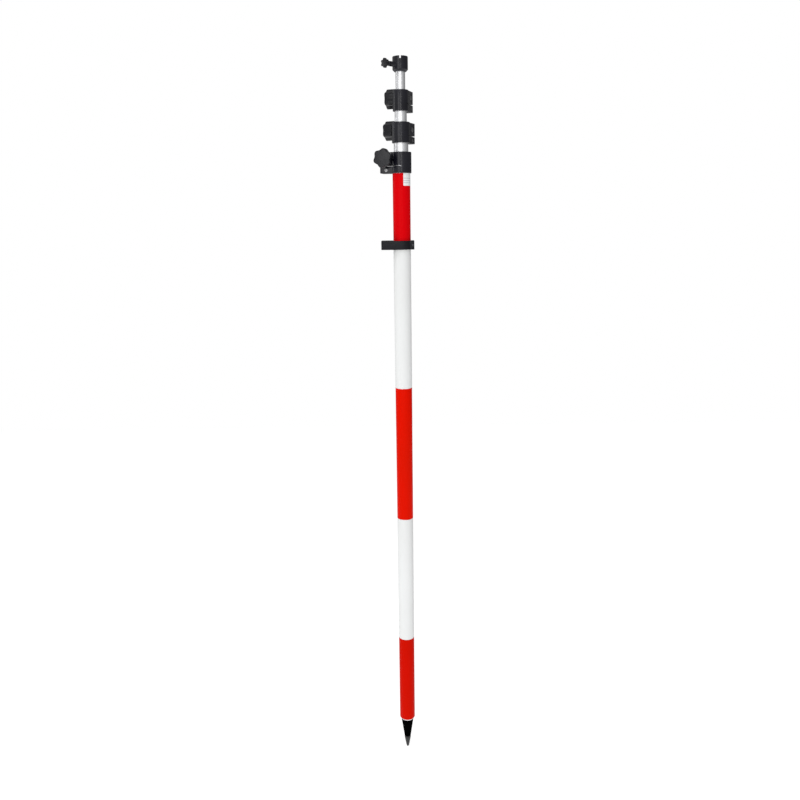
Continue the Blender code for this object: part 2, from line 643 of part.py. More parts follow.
def bracket_outline():
    """A block to the left, running into the ring, and a short split ear to the right."""
    start = math.degrees(math.asin(BRACKET_EAR_HALF / BRACKET_RADIUS))
    outline = arc_points((0, 0), BRACKET_RADIUS, start, 90, 6)
    left, side = BRACKET_LEFT + BRACKET_CORNER, BRACKET_RADIUS - BRACKET_CORNER
    outline += arc_points((left, side), BRACKET_CORNER, 90, 180, 3)
    outline += arc_points((left, -side), BRACKET_CORNER, 180, 270, 3)
    outline += arc_points((0, 0), BRACKET_RADIUS, -90, -start, 6)
    outline += [(BRACKET_EAR_END, -BRACKET_EAR_HALF), (BRACKET_EAR_END, BRACKET_EAR_HALF)]
    return outline


def make_bracket():
    bracket = outline_object("level_bracket", bracket_outline(), BRACKET_LOW, BRACKET_HIGH)
    finished(bracket, BLACK_PLASTIC)
    below, above = BRACKET_LOW - PAST, BRACKET_HIGH + PAST
    middle = (BRACKET_LOW + BRACKET_HIGH) / 2
    pocket_floor = BRACKET_HIGH - VIAL_DEPTH
    x, ear, half = BRACKET_SCREW_AT, BRACKET_EAR_HALF, BRACKET_SPLIT / 2
    split_low, split_high = (BRACKET_SPLIT_START, -half, below), (BRACKET_EAR_END + PAST, half, above)
    head_back, nut_back = -ear + BRACKET_HEAD_DEPTH, ear - BRACKET_NUT_DEPTH
    front, rear = (x, -WIDE, middle), (x, WIDE, middle)
    cut(bracket, round_bar("bore", BRACKET_BORE, (0, 0, below), (0, 0, above), SEGMENTS))
    cut(bracket, block("split", split_low, split_high))
    cut(bracket, round_bar("pocket", VIAL_POCKET, (VIAL_AT, 0, pocket_floor), (VIAL_AT, 0, above), SEGMENTS))
    cut(bracket, round_bar("screw", BRACKET_HOLE_RADIUS, front, rear))
    cut(bracket, round_bar("head", BRACKET_HEAD_POCKET, front, (x, head_back, middle)))
    cut(bracket, round_bar("nut", BRACKET_HEAD_POCKET, (x, nut_back, middle), rear, HEXAGON))

    turned("bracket_liner", ring_profile(LINER_BORE, LINER_RADIUS, BRACKET_LOW, BRACKET_HIGH), BUSH_NYLON)

    head_ends = ((x, -ear, middle), (x, head_back - GAP, middle))
    head = finished(round_bar("bracket_pinch_screw", BRACKET_HEAD_RADIUS, *head_ends), BARE_STEEL)
    shank_ends = ((x, head_back - BITE, middle), (x, ear - BRACKET_SCREW_SHORT, middle))
    join(head, round_bar("shank", BRACKET_SCREW_RADIUS, *shank_ends))
    cut(head, round_bar("key", BRACKET_SCREW_RADIUS, front, (x, BRACKET_KEY_DEPTH - ear, middle), HEXAGON))
    nut_ends = ((x, nut_back + GAP, middle), (x, ear, middle))
    nut = finished(round_bar("bracket_pinch_nut", BRACKET_HEAD_RADIUS, *nut_ends, HEXAGON), BARE_STEEL)
    cut(nut, round_bar("thread", BRACKET_HOLE_RADIUS, (x, 0, middle), rear))
    make_vial(pocket_floor)


def make_vial(pocket_floor):
    """A round level: a cup on three adjusting screws, the fluid in it and a domed glass on top."""
    seat = Matrix.Translation((VIAL_AT, 0, 0))
    floor = pocket_floor + CUP_STAND
    cup_radius = VIAL_POCKET - CUP_GAP
    cup_bore = cup_radius - CUP_WALL
    inside = cup_bore - GAP
    rim = BRACKET_HIGH - CUP_GAP
    fluid_low, fluid_high = floor + CUP_FLOOR + GAP, rim - GLASS_HEIGHT
    cup = [(0.0, floor + CUP_FLOOR), (cup_bore, floor + CUP_FLOOR), (cup_bore, rim), (cup_radius, rim)]
    cup += [(cup_radius, floor), (0.0, floor)]
    turned("vial_cup", cup, BARE_BRASS, matrix=seat)
    turned("vial_fluid", disc_profile(inside, fluid_low, fluid_high), LEVEL_FLUID, matrix=seat)
    dome = [(0.0, rim), (inside / 2, rim - GLASS_RISE[0]), (inside, rim - GLASS_RISE[1])]
    dome += [(inside, fluid_high + GAP), (0.0, fluid_high + GAP)]
    turned("vial_glass", dome, LEVEL_GLASS, matrix=seat)

    bracket = bpy.data.objects["level_bracket"]
    below = BRACKET_LOW - PAST
    head_low = BRACKET_LOW + LEVEL_HEAD_START
    head_high = head_low + LEVEL_HEAD_HEIGHT
    for index in range(3):
        angle = math.radians(120 * index + 60)
        x = VIAL_AT + LEVEL_SCREW_CIRCLE * math.cos(angle)
        y = LEVEL_SCREW_CIRCLE * math.sin(angle)
        cut(bracket, round_bar("hole", LEVEL_SCREW_RADIUS + GAP, (x, y, below), (x, y, floor)))
        cut(bracket, round_bar("sink", LEVEL_HEAD_RADIUS + GAP, (x, y, below), (x, y, head_high + GAP)))
        screw = round_bar(f"level_screw_{index + 1}", LEVEL_HEAD_RADIUS, (x, y, head_low), (x, y, head_high))
        finished(screw, BARE_STEEL)
        join(screw, round_bar("shank", LEVEL_SCREW_RADIUS, (x, y, head_high - BITE), (x, y, floor - GAP)))


def main():
    clear_scene()
    make_outer_tube()
    make_sleeves()
    make_label()
    make_point()
    make_inner_sections()
    make_locks()
    make_socket()
    make_bracket()


main()
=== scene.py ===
"""The looks of the telescopic prism pole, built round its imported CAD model.

Each shown piece is a finer mesh than its CAD node and lies where that node is. Lengths are in metres,
+Z runs up the pole from the end of the steel point, and -Y is the front.
"""

import json
import math

import bmesh
import bpy
from mathutils import Matrix, Vector


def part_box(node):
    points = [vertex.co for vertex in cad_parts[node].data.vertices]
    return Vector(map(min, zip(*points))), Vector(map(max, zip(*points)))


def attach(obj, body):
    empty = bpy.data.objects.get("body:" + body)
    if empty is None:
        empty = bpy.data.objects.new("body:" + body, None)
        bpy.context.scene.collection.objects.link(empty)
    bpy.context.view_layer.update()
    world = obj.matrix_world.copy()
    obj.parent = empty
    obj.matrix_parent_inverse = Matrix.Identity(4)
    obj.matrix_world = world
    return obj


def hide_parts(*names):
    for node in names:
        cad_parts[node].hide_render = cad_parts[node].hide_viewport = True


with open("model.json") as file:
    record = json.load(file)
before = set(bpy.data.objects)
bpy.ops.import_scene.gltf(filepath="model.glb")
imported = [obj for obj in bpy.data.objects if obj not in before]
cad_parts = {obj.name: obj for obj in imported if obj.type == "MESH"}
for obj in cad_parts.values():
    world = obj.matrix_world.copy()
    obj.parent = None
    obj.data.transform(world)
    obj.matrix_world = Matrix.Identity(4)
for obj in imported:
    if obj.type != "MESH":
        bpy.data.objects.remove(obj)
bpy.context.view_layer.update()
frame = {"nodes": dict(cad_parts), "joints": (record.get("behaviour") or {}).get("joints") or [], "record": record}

MM = 0.001
FINE = 96  # sides of a large round piece
SMALL = 48  # sides of a screw or a knob's hub
HEXAGON = 6
CLEAR = 4.0 * MM  # how far a cutting tool goes past a clamp
PAST = 3.0 * MM  # and past the level bracket
WIDE = 30.0 * MM  # further out than the end of any hole that a tool cuts

# What the frame doesn't say about the tubes, the label and the point
TUBE_WALL = 1.0 * MM
FILM_GAP = 0.1 * MM
FILM = 0.35 * MM
TURN_IN = 2.5 * MM  # the radius of the lowest sleeve's foot
LABEL_GLUE = 0.04 * MM
LABEL_THICKNESS = 0.12 * MM
LABEL_CORNER = 1.6 * MM
LABEL_COLUMNS = 64
PLUG_NECK = 15.0 * MM
PLUG_ROUND = 1.2 * MM
PLUG_BORE = 6.3 * MM
PLUG_GAP = 0.2 * MM
PLUG_SEAT = 1.0 * MM  # above the shoulder of the cone
FILM_REVEAL = 0.7 * MM
HOLDER_SHANK = 6.0 * MM
HOLDER_BORE = 3.3 * MM
HOLDER_BAND = 1.5 * MM
GROOVE_DROPS = (9.0 * MM, 11.0 * MM)  # below the cone's top
GROOVE_DEPTH = 0.35 * MM
GROOVE_HALF = 0.5 * MM
POINT_SHANK = 3.0 * MM
POINT_STRAIGHT = 4.0 * MM
POINT_NOSE_RADIUS = 3.3 * MM
POINT_NOSE_HEIGHT = 4.0 * MM
POINT_END_RADIUS = 1.5 * MM

# What the frame doesn't say about the clamps
COLLAR_LOWER = 13.0 * MM
SAW_CUT = 2.0 * MM
SAW_REACH = 105.0  # degrees each way round from the ear
SPLIT = 2.5 * MM
EAR_CORNER = 2.5 * MM
COLLAR_EASE = 0.7 * MM
FIT = 0.3 * MM
BOLT_RADIUS = 2.95 * MM
BOLT_HEAD_RADIUS = 5.7 * MM
BOLT_HEAD_HEIGHT = 4.0 * MM
BOLT_HEAD_CHAMFER = (1.1 * MM, 0.9 * MM)  # inward and along the bolt
BOLT_HEAD_SUNK = 0.1 * MM
BOLT_PITCH = 1.25 * MM
BOLT_THREAD = 0.45 * MM
PINCH_RADIUS = 1.95 * MM
PINCH_HEAD_RADIUS = 3.5 * MM
PINCH_HEAD_HEIGHT = 4.0 * MM
NUT_POCKET_RADIUS = 4.6 * MM
NUT_POCKET_DEPTH = 3.5 * MM
KNOB_LOBES = 6
KNOB_TIP_RADIUS = 18.8 * MM
KNOB_VALLEY_RADIUS = 15.9 * MM
KNOB_HUB_RADIUS = 11.0 * MM
KNOB_HUB_HEIGHT = 2.5 * MM
KNOB_BORE = 5.8 * MM
KNOB_ROOF = 3.5 * MM
KNOB_EASE = 1.7 * MM
WASHER_RADIUS = 8.0 * MM
FIRST_LOBES = {1: 20.0, 2: 30.0, 3: 30.0}

# What the frame doesn't say about the socket and its thumb screw
SOCKET_BORE = 11.0 * MM
SOCKET_DEPTH = 18.5 * MM
SOCKET_FLOOR = 2.0 * MM
SOCKET_HOLE = 6.0 * MM
SOCKET_CHAMFER = 3.5 * MM
SOCKET_RADIUS = 15.2 * MM
KEY_WIDTH = 3.0 * MM
KEY_DEPTH = 9.5 * MM
BOSS_RADIUS = 4.7 * MM
BOSS_START = 12.5 * MM
BOSS_END = 28.0 * MM
BOSS_BORE = 3.2 * MM
BOSS_BORE_START = 8.0 * MM
RIM_CHAMFER = (0.6 * MM, 0.8 * MM)  # inward and down
SOCKET_EASE = 0.25 * MM
PIN_RADIUS = 1.1 * MM
THUMB_HUB_RADIUS = 4.6 * MM
THUMB_HUB_HEIGHT = 4.4 * MM
THUMB_LOBES = 6
THUMB_TIP_RADIUS = 8.8 * MM
THUMB_VALLEY_RADIUS = 6.6 * MM
THUMB_ROOF = 1.5 * MM
THUMB_EASE = 1.1 * MM
STEM_RADIUS = 2.9 * MM
STEM_PITCH = 1.0 * MM
STEM_THREAD = 0.35 * MM

# What the frame doesn't say about the level bracket
BRACKET_RADIUS = 21.5 * MM
BRACKET_BORE = 19.2 * MM
BRACKET_EAR_HALF = 14.5 * MM
BRACKET_SPLIT = 2.0 * MM
BRACKET_CORNER = 4.0 * MM
BRACKET_EASE = 0.9 * MM
BRACKET_SPLIT_START = 10.0 * MM
BRACKET_SCREW_HOLE = 1.7 * MM
BRACKET_POCKET_RADIUS = 3.0 * MM
BRACKET_HEAD_DEPTH = 3.2 * MM
BRACKET_NUT_DEPTH = 2.6 * MM
BRACKET_SCREW_RADIUS = 1.4 * MM
BRACKET_HEAD_RADIUS = 2.6 * MM
BRACKET_HEAD_HEIGHT = 2.9 * MM
LEVEL_SCREW_HOLE = 1.5 * MM
LEVEL_HEAD_HOLE = 2.3 * MM
LEVEL_HEAD_DEPTH = 2.7 * MM
LINER_BORE = 18.3 * MM
VIAL_POCKET = 9.6 * MM
VIAL_DEPTH = 11.0 * MM
CUP_GAP = 0.4 * MM
CUP_WALL = 1.4 * MM
CUP_FLOOR = 2.0 * MM
BUBBLE = [(0.0, 0.9 * MM), (1.6 * MM, 0.6 * MM), (2.2 * MM, 0.05 * MM)]  # radius and depth
DOME_RISE = 1.2 * MM
MARK_RADII = (2.9 * MM, 3.25 * MM)
MARK_HEIGHTS = (0.02 * MM, 0.2 * MM)  # above the fluid

# The studio
FLOOR_HALF = 3.0
FLOOR_DROP = 0.6 * MM
FLOOR_GLOW = 0.62
BRIGHT_SIDE = Vector((-0.55, -0.83, 0.0))
DARK_LEVEL = 0.16
BRIGHT_LEVEL = 0.68
LIGHTS = [  # name, place, target, width, height, watts
    ("strip", (0.1, -2.6, 1.7), (0, 0, 1.0), 0.3, 2.0, 10.0),
    ("key", (-1.1, -2.2, 1.5), (0, 0, 0.9), 0.9, 1.7, 10.0),
    ("rim", (-2.2, 0.6, 1.35), (0, 0, 1.1), 0.25, 1.6, 3.5),
    ("top", (-0.3, -0.9, 3.3), (0, 0, 1.2), 1.0, 1.0, 9.0),
]
CAMERA_LENS = 34.81  # in millimetres, for a sensor 36 mm wide
CAMERA_SHIFT = 0.0246
CAMERA_DIP = 14.64  # degrees below level
CAMERA_ROLL = -0.735
CAMERA_PLACE = (-0.0091, -1.637, 1.2555)


# --- measuring the frame -----------------------------------------------------------------------


def span(node):
    """A node's lowest and highest Z."""
    low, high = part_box(node)
    return low.z, high.z


def half_width(node):
    """The radius of a round node that stands on the pole's axis."""
    low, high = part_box(node)
    return (high.x - low.x) / 2


def reach(node, direction, origin=Vector()):
    """How far a node's solid goes along a direction from a point."""
    return max((corner.co - origin).dot(direction) for corner in frame["nodes"][node].data.vertices)


def joint_line(name):
    """A hinge's point and axis."""
    joint = next(one for one in frame["joints"] if one["name"] == name)
    return Vector(joint["pos_m"]), Vector(joint["axis"]).normalized()


# --- mesh tools --------------------------------------------------------------------------------


def made(name, verts, faces, paint, edge_angle=32.0):
    """A mesh object, smooth but for its edges sharper than an angle."""
    mesh = bpy.data.meshes.new(name)
    mesh.from_pydata([tuple(corner) for corner in verts], [], faces)
    obj = bpy.data.objects.new(name, mesh)
    bpy.context.scene.collection.objects.link(obj)
    shape = bmesh.new()
    shape.from_mesh(mesh)
    bmesh.ops.remove_doubles(shape, verts=shape.verts, dist=0.000002)
    bmesh.ops.recalc_face_normals(shape, faces=shape.faces)
    shape.to_mesh(mesh)
    shape.free()
    mesh.materials.append(paint)
    smooth(obj, edge_angle)
    return obj


def smooth(obj, edge_angle=32.0):
    obj.data.shade_smooth()
    obj.data.set_sharp_from_angle(angle=math.radians(edge_angle))


def rounded(points, radius, steps=3, closed=True):
    """The same outline with its corners eased over a length on each side."""
    result = []
    count = len(points)
    for i, corner in enumerate(points):
        corner = Vector(corner)
        if not closed and i in (0, count - 1):
            result.append(tuple(corner))
            continue
        before, after = Vector(points[i - 1]) - corner, Vector(points[(i + 1) % count]) - corner
        ease = min(radius, 0.45 * before.length, 0.45 * after.length)
        start, end = corner + before.normalized() * ease, corner + after.normalized() * ease
        for step in range(steps + 1):
            t = step / steps
            result.append(tuple((1 - t) ** 2 * start + 2 * t * (1 - t) * corner + t * t * end))
    return result


def lathe(name, profile, paint, sides=FINE, matrix=None, ease=0.25 * MM, wobble=None):
    """A profile of (radius, height) points turned about Z, its corners eased.

    A profile that starts and ends on the axis is open there, and any other is a closed loop.
    """
    open_ended = profile[0][0] == 0.0 and profile[-1][0] == 0.0
    if ease:
        profile = rounded(profile, ease, 3, not open_ended)
    verts, faces = [], []
    for i in range(sides):
        turn = 2 * math.pi * i / sides
        for radius, height in profile:
            if wobble:
                radius = wobble(radius, height, turn)
            verts.append((radius * math.cos(turn), radius * math.sin(turn), height))
    count = len(profile)
    last = count - 1 if open_ended else count
    for i in range(sides):
        here, there = i * count, (i + 1) % sides * count
        for j in range(last):
            k = (j + 1) % count
            faces.append((here + j, there + j, there + k, here + k))
    obj = made(name, verts, faces, paint)
    return settle(obj, matrix)


def settle(obj, matrix):
    """Moves a mesh to its place, so that its object stays at the origin."""
    if matrix is not None:
        obj.data.transform(matrix)
    return obj


def ring(bore, radius, low, high):
    return [(radius, high), (radius, low), (bore, low), (bore, high)]


def disc(radius, low, high):
    return [(0.0, high), (radius, high), (radius, low), (0.0, low)]


def arc(centre, radius, start, end, steps):
    points = []
    for i in range(steps + 1):
        angle = math.radians(start + (end - start) * i / steps)
        points.append((centre[0] + radius * math.cos(angle), centre[1] + radius * math.sin(angle)))
    return points


def slab(name, outline, low, high, paint, ease, steps=3):
    """An outline given thickness along Z, with the edges of both faces rounded over."""
    count = len(outline)
    verts = [(x, y, low) for x, y in outline] + [(x, y, high) for x, y in outline]
    faces = [tuple(range(count)), tuple(range(2 * count - 1, count - 1, -1))]
    for i in range(count):
        k = (i + 1) % count
        faces.append((i, k, count + k, count + i))
    obj = made(name, verts, faces, paint)
    return bevel_edges(obj, ease, steps, 60)


def bevel_edges(obj, width, steps, sharper):
    """Rounds over the edges that are sharper than an angle."""
    bevel = obj.modifiers.new("ease", "BEVEL")
    bevel.width = width
    bevel.segments = steps
    bevel.limit_method = "ANGLE"
    bevel.angle_limit = math.radians(sharper)
    return bake(obj)


def bake(obj):
    """Applies an object's modifiers to its mesh."""
    graph = bpy.context.evaluated_depsgraph_get()
    old = obj.data
    obj.data = bpy.data.meshes.new_from_object(obj.evaluated_get(graph))
    obj.modifiers.clear()
    bpy.data.meshes.remove(old)
    smooth(obj)
    return obj


def rod(radius, start, end, sides=SMALL, turn=0.0):
    """A cylinder, or a prism with few sides, from start to end, as a tool or as the start of a piece."""
    start, end = Vector(start), Vector(end)
    shape = bmesh.new()
    bmesh.ops.create_cone(
        shape, cap_ends=True, segments=sides, radius1=radius, radius2=radius, depth=(end - start).length
    )
    aim = (end - start).to_track_quat("Z", "Y").to_matrix().to_4x4()
    twist = Matrix.Rotation(math.radians(turn), 4, "Z")
    shape.transform(Matrix.Translation((start + end) / 2) @ aim @ twist)
    return tool_object(shape)


def brick(low, high):
    low, high = Vector(low), Vector(high)
    shape = bmesh.new()
    size = Matrix.Diagonal((*(high - low), 1.0))
    bmesh.ops.create_cube(shape, size=1.0, matrix=Matrix.Translation((low + high) / 2) @ size)
    return tool_object(shape)


def tool_object(shape):
    mesh = bpy.data.meshes.new("tool")
    shape.to_mesh(mesh)
    shape.free()
    obj = bpy.data.objects.new("tool", mesh)
    bpy.context.scene.collection.objects.link(obj)
    return obj


def carve(obj, *tools, operation="DIFFERENCE"):
    """Cuts an object with tools, or joins them to it, and removes the tools."""
    for tool in tools:
        change = obj.modifiers.new("carve", "BOOLEAN")
        change.operation = operation
        change.solver = "EXACT"
        change.object = tool
    bake(obj)
    for tool in tools:
        bpy.data.objects.remove(tool)
    return seal(obj)


def seal(obj):
    """Fills any thin strip that a cut has left open."""
    shape = bmesh.new()
    shape.from_mesh(obj.data)
    rim = [edge for edge in shape.edges if edge.is_boundary]
    if rim:
        bmesh.ops.holes_fill(shape, edges=rim)
        bmesh.ops.recalc_face_normals(shape, faces=shape.faces)
        shape.to_mesh(obj.data)
        smooth(obj)
    shape.free()
    return obj


def threaded(name, radius, pitch, depth, low, high, paint, sides=24):
    """A rod with a helical thread and eased ends, along Z."""
    rows = max(2, int((high - low) / pitch * 6))
    verts, faces = [], []
    for i in range(sides):
        turn = i / sides
        for j in range(rows + 1):
            height = low + (high - low) * j / rows
            phase = ((height / pitch) - turn) % 1.0
            groove = depth * abs(2 * phase - 1)
            taper = depth * max(0.0, 1 - min(height - low, high - height) / pitch)
            r = radius - max(groove, taper)
            verts.append((r * math.cos(2 * math.pi * turn), r * math.sin(2 * math.pi * turn), height))
    count = rows + 1
    for i in range(sides):
        here, there = i * count, (i + 1) % sides * count
        for j in range(rows):
            faces.append((here + j, there + j, there + j + 1, here + j + 1))
    faces.append(tuple(i * count for i in range(sides - 1, -1, -1)))
    faces.append(tuple(i * count + rows for i in range(sides)))
    return made(name, verts, faces, paint, 50.0)


def lobed(lobes, tip, valley, first, per_lobe, sharpness=1.0):
    """A wavy outline whose radius swings between tip and valley, with a tip at the angle first."""
    count = lobes * per_lobe
    middle, swing = (tip + valley) / 2, (tip - valley) / 2
    points = []
    for i in range(count):
        angle = 2 * math.pi * i / count
        wave = math.cos(lobes * (angle - math.radians(first)))
        radius = middle + swing * math.copysign(abs(wave) ** sharpness, wave)
        points.append((radius * math.cos(angle), radius * math.sin(angle)))
    return points


def joined(name, *objects):
    """One object made from several that belong to one sub-part."""
    first = objects[0]
    for other in objects[1:]:
        base = len(first.data.materials)
        shape = bmesh.new()
        shape.from_mesh(first.data)
        count = len(shape.faces)
        shape.from_mesh(other.data)
        shape.faces.ensure_lookup_table()
        for face in shape.faces[count:]:
            face.material_index += base
        shape.to_mesh(first.data)
        shape.free()
        for paint in other.data.materials:
            first.data.materials.append(paint)
        bpy.data.objects.remove(other)
    first.name = name
    return first


def show(obj, body, slot, *nodes):
    """Says which body a piece rides on and which CAD nodes it stands for. The slot argument, its finish, is not
    used.
    """
    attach(obj, body)
    if nodes:
        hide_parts(*nodes)
    return obj


# --- materials ---------------------------------------------------------------------------------


class Paint:
    """A Principled material and short ways to add the nodes of its detail."""

    def __init__(self, name, colour, roughness, metallic=0.0, **constants):
        self.material = bpy.data.materials.new(name)
        self.material.use_nodes = True
        self.tree = self.material.node_tree
        self.shader = self.tree.nodes["Principled BSDF"]
        self.shader.inputs["Base Color"].default_value = (*colour, 1.0)
        self.shader.inputs["Roughness"].default_value = roughness
        self.shader.inputs["Metallic"].default_value = metallic
        for key, value in constants.items():
            self.shader.inputs[key.replace("_", " ")].default_value = value
        self.place = self.tree.nodes.new("ShaderNodeTexCoord").outputs["Object"]
        self.height = None

    def link(self, source, target):
        self.tree.links.new(source, target)

    def noise(self, scale, stretch=(1, 1, 1), detail=4.0, rough=0.55):
        """Noise in object space, its grain stretched along the axes with small factors."""
        mapping = self.tree.nodes.new("ShaderNodeMapping")
        mapping.inputs["Scale"].default_value = stretch
        self.link(self.place, mapping.inputs["Vector"])
        node = self.tree.nodes.new("ShaderNodeTexNoise")
        node.inputs["Scale"].default_value = scale
        node.inputs["Detail"].default_value = detail
        node.inputs["Roughness"].default_value = rough
        self.link(mapping.outputs["Vector"], node.inputs["Vector"])
        return node.outputs["Fac"]

    def ramp(self, source, low, high, start=0.35, end=0.65):
        """The source between two values, or between two colours."""
        node = self.tree.nodes.new("ShaderNodeMapRange")
        node.inputs["From Min"].default_value = start
        node.inputs["From Max"].default_value = end
        node.inputs["To Min"].default_value = low
        node.inputs["To Max"].default_value = high
        self.link(source, node.inputs["Value"])
        return node.outputs["Result"]

    def blend(self, factor, first, second):
        node = self.tree.nodes.new("ShaderNodeMix")
        node.data_type = "RGBA"
        for socket, value in zip((node.inputs[6], node.inputs[7]), (first, second)):
            if isinstance(value, tuple):
                socket.default_value = (*value, 1.0)
            else:
                self.link(value, socket)
        self.link(factor, node.inputs[0])
        return node.outputs[2]

    def maths(self, operation, first, second=0.0, third=0.0):
        node = self.tree.nodes.new("ShaderNodeMath")
        node.operation = operation
        for socket, value in zip(node.inputs, (first, second, third)):
            if isinstance(value, (int, float)):
                socket.default_value = value
            else:
                self.link(value, socket)
        return node.outputs[0]

    def axis(self, index):
        node = self.tree.nodes.new("ShaderNodeSeparateXYZ")
        self.link(self.place, node.inputs[0])
        return node.outputs[index]

    def colour(self, source):
        self.link(source, self.shader.inputs["Base Color"])

    def rough(self, source):
        self.link(source, self.shader.inputs["Roughness"])

    def bump(self, source, distance, strength=1.0):
        node = self.tree.nodes.new("ShaderNodeBump")
        node.inputs["Distance"].default_value = distance
        node.inputs["Strength"].default_value = strength
        self.link(source, node.inputs["Height"])
        if self.height is not None:
            self.link(self.height, node.inputs["Normal"])
        self.height = node.outputs["Normal"]
        self.link(self.height, self.shader.inputs["Normal"])


def film_paint(name, colour, worn):
    """Glossy shrink film: slightly uneven, with faint scuffs round the pole and a darker grime."""
    paint = Paint(name, colour, 0.30, Specular_IOR_Level=0.02)
    scuffs = paint.noise(60, (1, 1, 12), 6.0)
    clouds = paint.noise(9, (1, 1, 0.35), 3.0)
    paint.colour(paint.blend(paint.ramp(clouds, 0.0, 1.0), colour, worn))
    paint.rough(paint.ramp(scuffs, 0.24, 0.42, 0.4, 0.7))
    paint.bump(paint.noise(180, (1, 1, 0.25), 2.0), 0.00008, 0.35)
    return paint.material


def anodised_paint(name, colour, worn, roughness, gloss):
    """Black anodised metal: a fine blasted grain, with the colour a little thinner in patches."""
    paint = Paint(name, colour, roughness, Specular_IOR_Level=gloss)
    grain = paint.noise(2600, detail=2.0)
    clouds = paint.noise(35, detail=4.0)
    paint.colour(paint.blend(paint.ramp(clouds, 0.0, 1.0), colour, worn))
    paint.rough(paint.ramp(clouds, roughness - 0.05, roughness + 0.07))
    paint.bump(grain, 0.00003, 0.5)
    return paint.material


def moulded_paint(name, colour, worn, roughness, gloss):
    """Moulded black plastic: a spark-eroded grain and a few polished patches from hands."""
    paint = Paint(name, colour, roughness, Specular_IOR_Level=gloss)
    grain = paint.noise(1500, detail=3.0)
    handled = paint.noise(70, detail=3.0)
    paint.colour(paint.blend(paint.ramp(handled, 0.0, 1.0), colour, worn))
    paint.rough(paint.ramp(handled, roughness - 0.08, roughness + 0.08))
    paint.bump(grain, 0.00006, 0.6)
    return paint.material


def drawn_paint(name, colour, roughness):
    """Clear anodised tube: fine die lines along the pole and a soft cloudiness."""
    paint = Paint(name, colour, roughness, 1.0)
    lines = paint.noise(2600, (1, 1, 0.003), 2.0)
    clouds = paint.noise(14, (1, 1, 0.2), 3.0)
    dull = tuple(channel * 0.93 for channel in colour)
    paint.colour(paint.blend(paint.ramp(clouds, 0.0, 1.0), colour, dull))
    paint.rough(paint.ramp(lines, roughness - 0.04, roughness + 0.08))
    paint.bump(lines, 0.000004, 0.15)
    return paint.material


def turned_paint(name, colour, roughness, pitch=0.0006):
    """Turned metal: fine rings round the pole's axis and small stains."""
    paint = Paint(name, colour, roughness, 1.0)
    wave = paint.maths("SINE", paint.maths("MULTIPLY", paint.axis(2), 2 * math.pi / pitch))
    stains = paint.noise(120, detail=5.0)
    dull = tuple(channel * 0.72 for channel in colour)
    paint.colour(paint.blend(paint.ramp(stains, 0.0, 1.0, 0.45, 0.75), colour, dull))
    paint.rough(paint.ramp(stains, roughness - 0.05, roughness + 0.14))
    paint.bump(paint.ramp(wave, 0.0, 1.0, -1.0, 1.0), 0.00002, 0.4)
    return paint.material


def plated_paint(name, colour, roughness):
    """Zinc plated or plain steel hardware, with a light mottle."""
    paint = Paint(name, colour, roughness, 1.0)
    mottle = paint.noise(420, detail=4.0)
    dull = tuple(channel * 0.8 for channel in colour)
    paint.colour(paint.blend(paint.ramp(mottle, 0.0, 1.0), colour, dull))
    paint.rough(paint.ramp(mottle, roughness - 0.04, roughness + 0.12))
    paint.bump(mottle, 0.00002, 0.4)
    return paint.material


def nylon_paint():
    paint = Paint("nylon", (0.75, 0.74, 0.70), 0.5, Subsurface_Weight=0.15, Subsurface_Scale=0.002)
    grain = paint.noise(900, detail=2.0)
    clouds = paint.noise(40, detail=3.0)
    paint.colour(paint.blend(paint.ramp(clouds, 0.0, 1.0), (0.76, 0.75, 0.71), (0.68, 0.66, 0.60)))
    paint.bump(grain, 0.00004, 0.5)
    return paint.material


def label_paint(low, high):
    """A white sticker with three thin grey rules across it, and no words."""
    paint = Paint("label_paper", (0.86, 0.87, 0.87), 0.42, Coat_Weight=0.2, Coat_Roughness=0.2)
    part = paint.ramp(paint.axis(2), 0.0, 1.0, low, high)
    half_rule = 0.016
    rules = paint.maths("COMPARE", part, 0.60, half_rule)
    for height in (0.40, 0.24):
        rules = paint.maths("MAXIMUM", rules, paint.maths("COMPARE", part, height, half_rule))
    fibre = paint.noise(700, detail=3.0)
    ground = paint.blend(paint.ramp(fibre, 0.0, 0.12), (0.84, 0.85, 0.85), (0.7, 0.7, 0.7))
    paint.colour(paint.blend(rules, ground, (0.34, 0.36, 0.38)))
    paint.bump(fibre, 0.00002, 0.3)
    return paint.material


def fluid_paint():
    paint = Paint("level_fluid", (0.55, 0.85, 0.10), 0.08, Transmission_Weight=0.55, IOR=1.36)
    depth = paint.noise(90, detail=2.0)
    paint.colour(paint.blend(paint.ramp(depth, 0.0, 1.0), (0.55, 0.85, 0.10), (0.42, 0.74, 0.06)))
    return paint.material


def glass_paint():
    paint = Paint("level_glass", (0.95, 0.99, 0.97), 0.03, Transmission_Weight=1.0, IOR=1.49)
    smear = paint.noise(150, detail=4.0)
    paint.rough(paint.ramp(smear, 0.02, 0.07))
    return paint.material


def ink_paint():
    paint = Paint("level_ink", (0.02, 0.02, 0.02), 0.4)
    speck = paint.noise(2000, detail=2.0)
    paint.colour(paint.blend(paint.ramp(speck, 0.0, 1.0), (0.015, 0.015, 0.015), (0.04, 0.04, 0.04)))
    return paint.material


